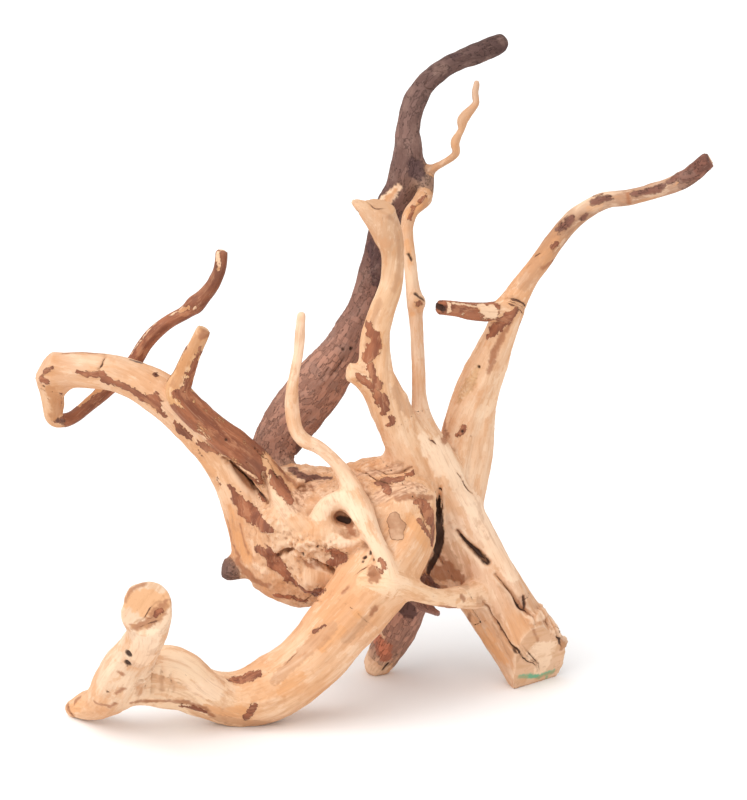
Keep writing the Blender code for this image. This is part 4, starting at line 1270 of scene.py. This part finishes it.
# All the relief is raised along the normals: knobs on the burl, ridges on the limbs, torn bark,
# pits, wrinkles across the arch, and the cracks.
rough = eased(marks["knobbly"], -3, 2)
plain = 1 - 0.95 * eased(marks["smooth"], -4, 1)
knobs = 1.5 * noise(points, 13, 101) + 1.2 * np.abs(noise(points, 7, 102)) + 0.6 * noise(points, 3.6, 103)
knobs += (0.25 + 1.0 * rough) * (noise(points, 2.6, 104) + 0.7 * noise(points, 1.7, 106))
burl = gnarled * plain
height += gnarled * knobs * plain
height += 0.9 * rough * np.abs(noise(points, 4.0, 107))
height += 0.40 * eased(bark, -0.4, 0.4) + 0.5 * eased(marks["scab"], -0.4, 0.4)
height += eased(marks["fibres"], -1, 2) * 0.5 * noise(points, 2.0, 108)
height += eased(marks["splinters"], -1.2, 1.2) * (2.0 + 1.5 * strings)
height += eased(marks["scar"], -1, 1) * (1.6 * np.abs(noise(points, 2.4, 109)) - 0.7)
height -= 0.9 * eased(marks["dark"], -0.5, 1.0)
wrinkled = noise(np.column_stack([0.2 * points[:, :2], travel]), 2.4, 110)
height += eased(marks["wrinkles"], -2, 2) * 1.3 * wrinkled
height -= sunk
height *= 1 - eased(sawn, 0, 0.5)

# The feet stay flat on the floor, and nothing goes under it.
FLAT_FOOT = 0.3
flat = points[:, 2] < FLAT_FOOT
points = points + height[:, None] * normals
points[:, 2] = np.where(flat, 0, np.maximum(points[:, 2], 0))
normals = normals_of(points, quads)


# One finish serves all the wood, because it is one growth: stripped cream wood with fine grain,
# red-brown inner bark and grey outer bark where they are left, and dark holes and cracks.
class Wire:
    """A socket of a material. Sums on it, also with plain numbers, add Math nodes."""

    def __init__(self, tree, socket):
        self.tree = tree
        self.socket = socket

    def maths(self, operation, *values):
        """A Math node on the values, by its operation's name."""
        return node(self.tree, "ShaderNodeMath", {"operation": operation}, *values)

    def __add__(self, other):
        return self.maths("ADD", self, other)

    def __radd__(self, other):
        return self.maths("ADD", other, self)

    def __sub__(self, other):
        return self.maths("SUBTRACT", self, other)

    def __rsub__(self, other):
        return self.maths("SUBTRACT", other, self)

    def __mul__(self, other):
        return self.maths("MULTIPLY", self, other)

    def __rmul__(self, other):
        return self.maths("MULTIPLY", other, self)

    def __abs__(self):
        return self.maths("ABSOLUTE", self)

    def clear(self, low, high):
        """From 0 at low to 1 at high, eased."""
        settings = {"interpolation_type": "SMOOTHSTEP"}
        return node(self.tree, "ShaderNodeMapRange", settings, self, low, high)


def node(tree, kind, settings, *values, out=0, **named):
    """Add a node: its settings first, then values or wires into its sockets, by order or name."""
    made = tree.nodes.new(kind)
    for key, value in settings.items():
        setattr(made, key, value)
    for key, value in [*enumerate(values), *named.items()]:
        if isinstance(key, str):
            key = next(i for i, socket in enumerate(made.inputs) if socket.identifier == key)
        if isinstance(value, Wire):
            tree.links.new(value.socket, made.inputs[key])
        else:
            made.inputs[key].default_value = value
    return Wire(tree, made.outputs[out])


def wood_finish(name):
    """The finish: each mark's distance inside its edge, roughened by fine noise, picks a colour."""
    material = bpy.data.materials.new(name)
    material.use_nodes = True
    tree = material.node_tree
    shader = tree.nodes["Principled BSDF"]
    shader.inputs["Specular IOR Level"].default_value = 0.18

    def read(attribute, out="Fac"):
        """One of the attributes that the mesh carries."""
        return node(tree, "ShaderNodeAttribute", {"attribute_name": attribute}, out=out)

    def mottle(vector, scale, detail=2.0, roughness=0.55):
        """Cloudy noise of about 0.3 to 0.7."""
        sockets = {"Vector": vector, "Scale": scale, "Detail": detail, "Roughness": roughness}
        return node(tree, "ShaderNodeTexNoise", {}, **sockets)

    def along_grain(thin, long):
        """Places along the grain, for noise of a size across it and a size along it."""
        return node(tree, "ShaderNodeMapping", {}, Vector=grain, Scale=(1 / thin, 1 / thin, 1 / long))

    def blend(factor, first, second):
        """From the first colour at 0 to the second at 1."""
        colours = [c if isinstance(c, Wire) else (*c, 1) for c in (first, second)]
        sockets = {"Factor_Float": factor, "A_Color": colours[0], "B_Color": colours[1]}
        return node(tree, "ShaderNodeMix", {"data_type": "RGBA"}, out=2, **sockets)

    def coat(colour, *coats):
        """Lay colours over one: each where its pattern passes from low to high, at its strength."""
        for pattern, low, high, strength, over in coats:
            colour = blend(pattern.clear(low, high) * strength, colour, over)
        return colour

    position = node(tree, "ShaderNodeTexCoord", {}, out="Object")
    grain = read("grain", "Vector")
    tint = read("tint", "Color")
    deep = read("deep")
    burl = read("burl")
    clouds = mottle(position, 24.0, 3.0)
    spots = mottle(position, 70.0, 4.0, 0.6)
    grit = mottle(position, 420.0, 3.0)
    blots = mottle(along_grain(7.0, 18.0), 1.0, 5.0, 0.66)
    streaks = mottle(along_grain(5.0, 30.0), 1.0, 4.0, 0.6)
    fibres = mottle(along_grain(1.2, 18.0), 1.0, 3.0)
    hairs = mottle(along_grain(0.5, 8.0), 1.0, 2.0)
    flecks = mottle(along_grain(1.3, 3.2), 1.0, 2.0)

    # The stripped wood, then the marks that stain it, then dirt in the burl, then a painted highlight
    # on high places.
    straw = (0.88, 0.64, 0.45)
    colour = coat(
        tint,
        (clouds, 0.46, 0.66, 0.65, (0.68, 0.34, 0.16)),
        (clouds, 0.48, 0.28, 0.6, (0.88, 0.63, 0.43)),
        (blots, 0.52, 0.60, 0.45, (0.64, 0.31, 0.14)),
        (blots, 0.44, 0.37, 0.38, straw),
        (streaks, 0.50, 0.66, 0.45, (0.56, 0.27, 0.125)),
        (streaks, 0.45, 0.32, 0.3, straw),
        (fibres, 0.54, 0.72, 0.26, (0.50, 0.24, 0.12)),
        (fibres, 0.44, 0.28, 0.2, straw),
        (hairs, 0.62, 0.74, 0.25, (0.42, 0.19, 0.09)),
        (spots, 0.60, 0.68, 0.4, (0.60, 0.29, 0.14)),
    )
    colour = blend(flecks.clear(0.69, 0.76) * spots.clear(0.5, 0.62) * 0.7, colour, (0.30, 0.13, 0.07))
    stained = coat(
        tint,
        (fibres, 0.50, 0.68, 0.3, (0.36, 0.17, 0.09)),
        (spots, 0.56, 0.66, 0.3, (0.30, 0.13, 0.07)),
    )
    colour = blend(read("stain") * 0.85, colour, stained)
    colour = blend(burl * grit.clear(0.54, 0.68) * 0.5, colour, (0.34, 0.15, 0.08))
    # Painted highlight: high places, where deep is below 0, are made paler.
    colour = coat(colour, (deep, -0.1, -0.9, 0.4, (0.92, 0.69, 0.50)))

    # The end grain on the saw cuts, with its curved growth rings.
    arcs = node(
        tree, "ShaderNodeMapping", {}, Vector=grain, Rotation=(0, 0, 0.6), Scale=(0.05, 0.28, 0.01)
    )
    rings = node(tree, "ShaderNodeTexNoise", {}, Vector=arcs, Scale=1.0, Detail=3.0, Distortion=0.8)
    end_grain = coat(
        blend(0.08, tint, (0.86, 0.56, 0.32)),
        (rings, 0.46, 0.64, 0.5, (0.58, 0.30, 0.14)),
        (grit, 0.60, 0.72, 0.4, (0.45, 0.22, 0.11)),
    )
    colour = coat(colour, (read("sawn"), -0.1, 0.3, 0.85, end_grain))

    # Matted fibres, the dark-edged scab, and painted shade in what lies deep.
    ragged = mottle(along_grain(1.0, 3.4), 1.0, 3.0, 0.7)
    edge = (mottle(position, 330.0, 3.0, 0.6) - 0.5) * 2.2 + (spots - 0.5) * 1.6 + (ragged - 0.5) * 3.4
    matted = read("fibres") + edge * 0.5
    tangle = mottle(along_grain(1.5, 13.0), 1.0, 3.0, 0.5)
    matted_wood = blend(tangle.clear(0.34, 0.62), (0.38, 0.185, 0.11), (0.76, 0.48, 0.31))
    colour = coat(colour, (matted, -1.2, 1.6, 0.75, matted_wood))
    scab = read("scab") + edge * 0.3
    scab_wood = blend(spots.clear(0.4, 0.6), (0.44, 0.23, 0.13), (0.62, 0.38, 0.24))
    on_scab = scab.clear(-0.1, 0.12)
    colour = blend(on_scab * 0.9, colour, blend(scab.clear(0.05, 0.7), (0.22, 0.10, 0.05), scab_wood))
    # Painted shade: what lies deep is darkened towards dark brown.
    colour = coat(colour, (deep, 0.08, 1.2, 0.8, (0.27, 0.11, 0.05)))

    # The red inner bark, darker at its edges, partly torn bark and partly a painted shadow under
    # the raised edge, and darkened in its hollows as painted shade.
    red = read("bark") + edge
    on_red = red.clear(-0.12, 0.14)
    red_wood = coat(
        blend(streaks.clear(0.38, 0.62), (0.36, 0.122, 0.058), (0.20, 0.06, 0.032)),
        (blots, 0.53, 0.62, 0.6, (0.50, 0.215, 0.11)),
        (clouds, 0.48, 0.66, 0.6, (0.16, 0.062, 0.040)),
        (fibres, 0.55, 0.7, 0.4, (0.52, 0.27, 0.155)),
        (hairs, 0.62, 0.74, 0.4, (0.62, 0.38, 0.25)),
        (red, 0.7, 0.05, 0.4, (0.14, 0.055, 0.03)),
        (deep, 0.15, 1.0, 0.7, (0.09, 0.035, 0.022)),
    )
    colour = blend(on_red * 0.95, colour, red_wood)

    # The grey outer bark, in plates with seams between them, darkened in its hollows as painted shade.
    grey = read("char") + edge
    on_grey = grey.clear(-0.25, 0.25)
    plates = mottle(along_grain(4.5, 8.0), 1.0, 4.0, 0.6)
    seams = (0.015 - abs(plates - 0.5)).clear(0.0, 0.012)
    grey_wood = coat(
        tint,
        (plates, 0.42, 0.62, 0.4, (0.085, 0.042, 0.034)),
        (spots, 0.50, 0.66, 0.4, (0.31, 0.19, 0.15)),
        (fibres, 0.56, 0.72, 0.4, (0.055, 0.028, 0.022)),
    )
    grey_wood = blend(seams * 0.5, grey_wood, (0.035, 0.018, 0.014))
    grey_wood = coat(
        grey_wood,
        (hairs, 0.64, 0.74, 0.35, (0.42, 0.28, 0.22)),
        (deep, 0.1, 0.9, 0.7, (0.04, 0.02, 0.016)),
    )
    colour = blend(on_grey, colour, grey_wood)

    # Holes and cracks, painted near black inside as painted shade, and a browner band beside each crack.
    on_dark = (read("dark") + edge * 0.25).clear(-0.5, 0.7)
    colour = blend(on_dark * 0.96, colour, (0.050, 0.024, 0.016))
    wander = (mottle(position, 260.0, 2.0) - 0.5) * 1.8
    broken = (mottle(position, 150.0, 1.0) - 0.56) * 2.4
    gape = read("gape")
    beside = abs(read("beside") + wander)
    gap = (gape + broken - beside).clear(-0.1, 0.25)
    beside_gap = (gape + 1.1 - beside).clear(0.2, 1.3)
    colour = blend(beside_gap * (0.45 - on_grey * 0.45), colour, (0.36, 0.165, 0.08))
    gap_wood = blend(gape.clear(0.2, 0.65), (0.22, 0.095, 0.055), (0.05, 0.023, 0.015))
    colour = blend(gap * 0.95, colour, gap_wood)
    tree.links.new(colour.socket, shader.inputs["Base Color"])

    roughness = 0.74 + on_grey * 0.12 - on_red * 0.16 + (grit - 0.5) * 0.15
    tree.links.new(roughness.socket, shader.inputs["Roughness"])
    relief = fibres * 0.3 + hairs * 0.15 + blots * 0.5 + on_red * 0.5 + on_scab * 0.5 + burl * grit * 0.7
    relief = relief + matted.clear(-0.8, 1.2) * tangle * 0.8
    relief = relief + on_grey * plates * 1.2 - on_grey * seams * 0.8
    relief = relief - gap * 1.6 - on_dark * 0.6
    bump = node(tree, "ShaderNodeBump", {}, Strength=0.85, Distance=0.0006, Height=relief)
    tree.links.new(bump.socket, shader.inputs["Normal"])
    return material


# What lies deeper than the skin round it is darkened as painted shade, and high places are made
# paler as a painted highlight: deep is the distance out to the smoothed skin, where each point has
# moved to the middle of its neighbours a number of times.
edges = np.vstack([quads[:, [i, (i + 1) % 4]] for i in range(4)])
round_it = np.bincount(edges[:, 0], minlength=total)
smoothed = points
deep = np.zeros(total)
for times, share in ((8, 1.0), (22, 0.3)):
    for _ in range(times):
        middles = [np.bincount(edges[:, 0], smoothed[edges[:, 1], i], total) for i in range(3)]
        smoothed = np.stack([middle / round_it for middle in middles], axis=1)
    deep += share * ((smoothed - points) * normals).sum(1)
deep = np.where(deep < 0, deep * np.clip((broad - 3) / 12, 0, 1), deep)

# The skin is parted at the forks: each length of wood takes the faces of its limbs past its fork,
# and is closed across it. The head of the trunk takes what is left of the crown past its own.
names = [*limbs, "burl"]
centres = points[quads].mean(1)
labels = np.zeros(len(quads), int)
lengths = [("root_crown", "burl_wood")]
for name, at, along, of, until, slot in forks:
    past = (centres - np.array(at, float) - STANDS_AT) @ unit(along) > 0
    if until:
        past &= (centres - np.array(until[0], float) - STANDS_AT) @ unit(until[1]) < 0
    mine = np.isin(face_owner, [names.index(limb) for limb in of])
    if name == "trunk_head":
        mine = labels == 0
    labels[mine & past] = len(lengths)
    lengths.append((name, slot))

carried = {kind: marks[kind] for kind in ("scab", "dark", "fibres")}
carried.update(bark=bark, char=char, burl=burl, deep=deep, stain=stain)
carried.update(sawn=sawn, beside=beside, gape=gape)
finishes = {}
for label, (name, slot) in enumerate(lengths):
    mine = labels == label
    used, corner = np.unique(quads[mine], return_inverse=True)
    mesh = make_mesh(name, points[used], corner.reshape(-1, 4))
    for attribute, values in carried.items():
        mesh.attributes.new(attribute, "FLOAT", "POINT")
        mesh.attributes[attribute].data.foreach_set("value", values[used].astype(np.float32))
    mesh.attributes.new("tint", "FLOAT_COLOR", "POINT")
    colours = np.column_stack([tint[used], np.ones(len(used))]).astype(np.float32)
    mesh.attributes["tint"].data.foreach_set("color", colours.ravel())
    mesh.attributes.new("grain", "FLOAT_VECTOR", "CORNER")
    mesh.attributes["grain"].data.foreach_set("vector", grain[mine].astype(np.float32).ravel())
    shape = bmesh.new()
    shape.from_mesh(mesh)
    bmesh.ops.holes_fill(shape, edges=[edge for edge in shape.edges if edge.is_boundary], sides=0)
    shape.to_mesh(mesh)
    shape.free()
    mesh.shade_smooth()
    mesh.normals_split_custom_set_from_vertices(normals[used].astype(np.float32))
    piece = bpy.data.objects.new(name + "_wood", mesh)
    bpy.context.scene.collection.objects.link(piece)
    if slot not in finishes:
        finishes[slot] = wood_finish(slot)
    mesh.materials.append(finishes[slot])
    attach(piece, "root")
    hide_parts("root_crown" if name == "trunk_head" else name)

# The floor is a plain pale sheet of paper. The light is an even white room and one wide, soft lamp
# that shines from above, in front and to the left.
SHEET = 4
WHITE_ROOM = 0.84
LAMP = 2.05
LAMP_SPREAD = 60
LAMP_SHINES = (0.6, 0.55, -1.0)
sheet_corners = [(-SHEET, -SHEET, 0), (SHEET, -SHEET, 0), (SHEET, SHEET, 0), (-SHEET, SHEET, 0)]
floor_mesh = bpy.data.meshes.new("floor")
floor_mesh.from_pydata(sheet_corners, [], [(0, 1, 2, 3)])
floor = bpy.data.objects.new("floor", floor_mesh)
bpy.context.scene.collection.objects.link(floor)
paper = bpy.data.materials.new("paper")
paper.use_nodes = True
paper_shader = paper.node_tree.nodes["Principled BSDF"]
paper_shader.inputs["Base Color"].default_value = (0.95, 0.95, 0.95, 1)
paper_shader.inputs["Roughness"].default_value = 0.9
floor_mesh.materials.append(paper)
world = bpy.data.worlds.new("studio")
world.use_nodes = True
room = world.node_tree.nodes["Background"]
room.inputs["Color"].default_value = (1, 1, 1, 1)
room.inputs["Strength"].default_value = WHITE_ROOM
bpy.context.scene.world = world
lamp_data = bpy.data.lights.new("lamp", "SUN")
lamp_data.energy = LAMP
lamp_data.angle = math.radians(LAMP_SPREAD)
lamp = bpy.data.objects.new("lamp", lamp_data)
lamp.rotation_euler = Vector(LAMP_SHINES).to_track_quat("-Z", "Y").to_euler()
bpy.context.scene.collection.objects.link(lamp)
